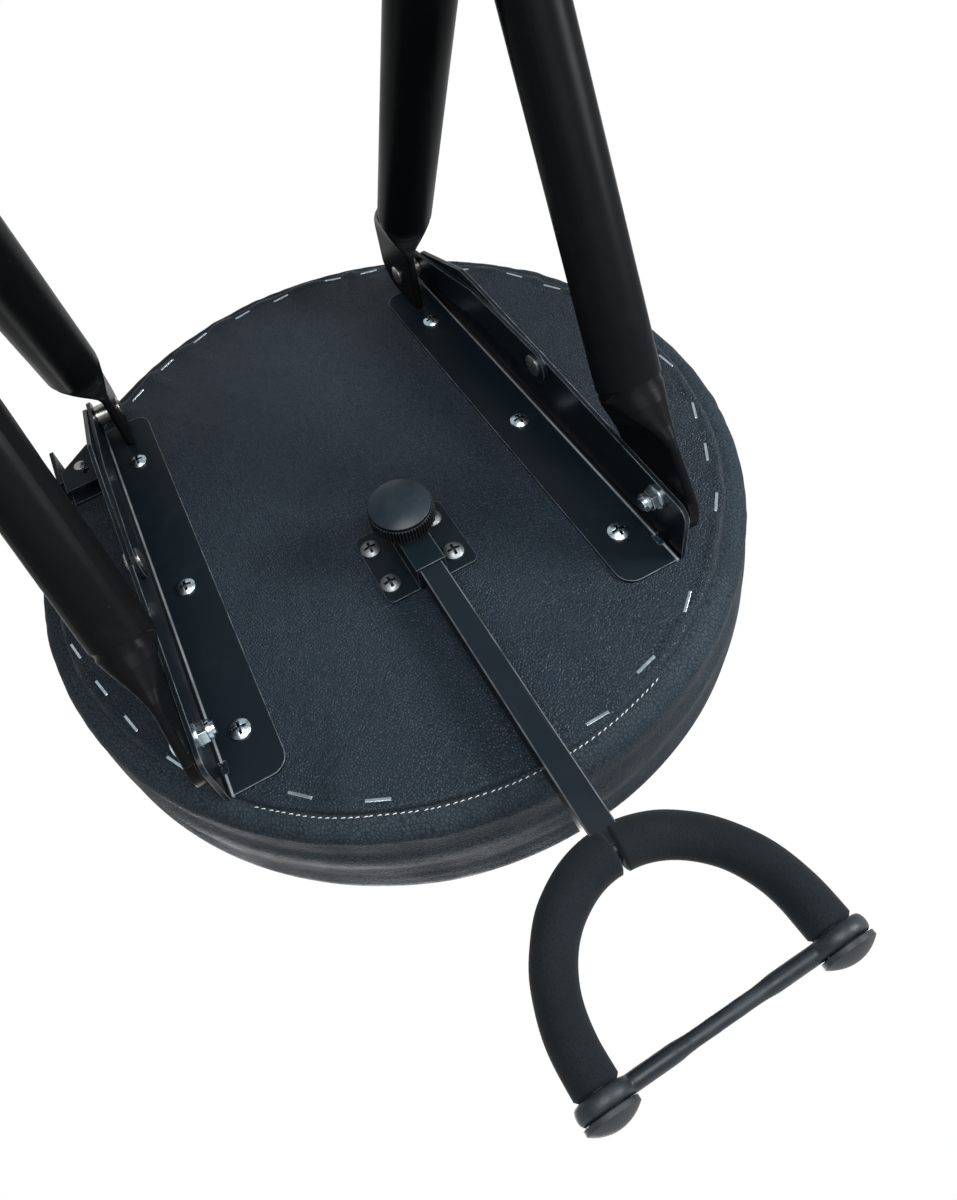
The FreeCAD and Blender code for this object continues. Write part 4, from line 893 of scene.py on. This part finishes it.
def keeper_strap():
    """Rubber strap between the arms: rings on the necks, thick ends and a thin middle in one moulding."""
    inner = NECK_RADIUS + 0.1 * MM
    outer = (STRAP_HIGH.z - STRAP_LOW.z) / 2
    mesh = bmesh.new()
    for side in (-1, 1):
        strap_ring(mesh, side, inner, outer)
    reach = YOKE_RADIUS - inner - 0.8 * MM
    rings = []
    for k in range(STRAP_STEPS + 1):
        y = reach * (2 * k / STRAP_STEPS - 1)
        thick = smooth_step(reach - STRAP_THICK_LENGTH - 5 * MM, reach - STRAP_THICK_LENGTH + 2 * MM, abs(y))
        half_z = STRAP_HALF_THIN + (STRAP_HALF_THICK - STRAP_HALF_THIN) * thick
        half_x = STRAP_HALF_WIDTH * (0.84 + 0.14 * thick)
        rings.append([strap_point(mesh, half_x * math.cos(2 * math.pi * j / STRAP_AROUND), y,
                                  half_z * math.sin(2 * math.pi * j / STRAP_AROUND)) for j in range(STRAP_AROUND)])
    for here, there in zip(rings, rings[1:]):
        for j in range(STRAP_AROUND):
            mesh.faces.new((here[j], here[(j + 1) % STRAP_AROUND], there[(j + 1) % STRAP_AROUND], there[j]))
    mesh.faces.new(list(reversed(rings[0])))
    mesh.faces.new(rings[-1])
    data = bpy.data.meshes.new("keeper_strap_skin")
    mesh.to_mesh(data)
    mesh.free()
    piece = bpy.data.objects.new("keeper_strap_skin", data)
    bpy.context.scene.collection.objects.link(piece)
    finish_piece(piece, STRAP_RUBBER)
    remesh = piece.modifiers.new("remesh", "REMESH")
    remesh.mode = "VOXEL"
    remesh.voxel_size = 0.45 * MM
    soften = piece.modifiers.new("soften", "SMOOTH")
    soften.factor = 0.5
    soften.iterations = 16
    bake_modifiers(piece)
    finish_piece(piece, STRAP_RUBBER)
    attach(piece, "hanger")
    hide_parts("keeper_strap")
    return piece


# Stage

SKY_LEVEL = 0.28


def area_light(name, place, aim, size, power, spread=180.0):
    """Soft square lamp that the camera doesn't see."""
    data = bpy.data.lights.new(name, "AREA")
    data.size = size
    data.energy = power
    data.spread = math.radians(spread)
    lamp = bpy.data.objects.new(name, data)
    lamp.location = place
    lamp.rotation_mode = "QUATERNION"
    lamp.rotation_quaternion = (Vector(aim) - Vector(place)).to_track_quat("-Z", "Y")
    lamp.visible_camera = False
    bpy.context.scene.collection.objects.link(lamp)


def studio():
    """Pale floor, white surround and soft lamps, two of them low to light the underside."""
    bpy.ops.mesh.primitive_plane_add(size=8.0, location=(0.0, 0.0, 0.0))
    floor = bpy.context.active_object
    floor.name = "floor"
    floor.data.materials.append(studio_floor())
    world = bpy.data.worlds.new("studio")
    bpy.context.scene.world = world
    world.use_nodes = True
    nodes = world.node_tree.nodes
    links = world.node_tree.links
    surface = nodes["Background"]
    path = nodes.new("ShaderNodeLightPath")
    seen = path.outputs["Is Camera Ray"]
    for output in ("Is Glossy Ray", "Is Transmission Ray"):
        either = nodes.new("ShaderNodeMath")
        either.operation = "MAXIMUM"
        links.new(seen, either.inputs[0])
        links.new(path.outputs[output], either.inputs[1])
        seen = either.outputs["Value"]
    strength = nodes.new("ShaderNodeMapRange")
    strength.inputs["To Min"].default_value = SKY_LEVEL
    strength.inputs["To Max"].default_value = 1.0
    links.new(seen, strength.inputs["Value"])
    links.new(strength.outputs["Result"], surface.inputs["Strength"])
    surface.inputs["Color"].default_value = (1.0, 1.0, 1.0, 1.0)
    area_light("key", (0.35, -0.60, 0.15), SEAT, 0.25, 1.4, 60.0)
    area_light("front", (0.30, 0.02, 0.10), SEAT + Vector((0.12, 0.0, 0.0)), 0.35, 1.2, 90.0)
    area_light("top", (-0.3, 0.4, 4.0), (0.0, 0.0, 0.0), 2.5, 100.0)


def photo_camera():
    """Camera at the photograph's place, with its framing."""
    data = bpy.data.cameras.new("photo_camera")
    data.sensor_width = SENSOR
    data.lens = FOCAL_PX * SENSOR / IMAGE_HEIGHT
    data.shift_x = (IMAGE_WIDTH / 2 - CENTRE_PX[0]) / IMAGE_HEIGHT
    data.shift_y = (CENTRE_PX[1] - IMAGE_HEIGHT / 2) / IMAGE_HEIGHT
    data.clip_start = 0.01
    camera = bpy.data.objects.new("photo_camera", data)
    back = CAMERA_RIGHT.cross(CAMERA_UP).normalized()
    up = back.cross(CAMERA_RIGHT).normalized()
    right = up.cross(back)
    turn = Matrix((right, up, back)).transposed().to_4x4()
    camera.matrix_world = Matrix.Translation(CAMERA_PLACE) @ turn
    bpy.context.scene.collection.objects.link(camera)
    bpy.context.scene.camera = camera


def build():
    """Dress the frame and set the stage."""
    bpy.context.scene.view_settings.view_transform = "Standard"
    photo_camera()
    studio()
    paint_nodes()
    seat_skin()
    bottom_skin(staple_spots())
    stitch_row()
    sleeve("foam_sleeve_left", 1, "foam_left")
    sleeve("foam_sleeve_right", -1, "foam_right")
    keeper_strap()


build()
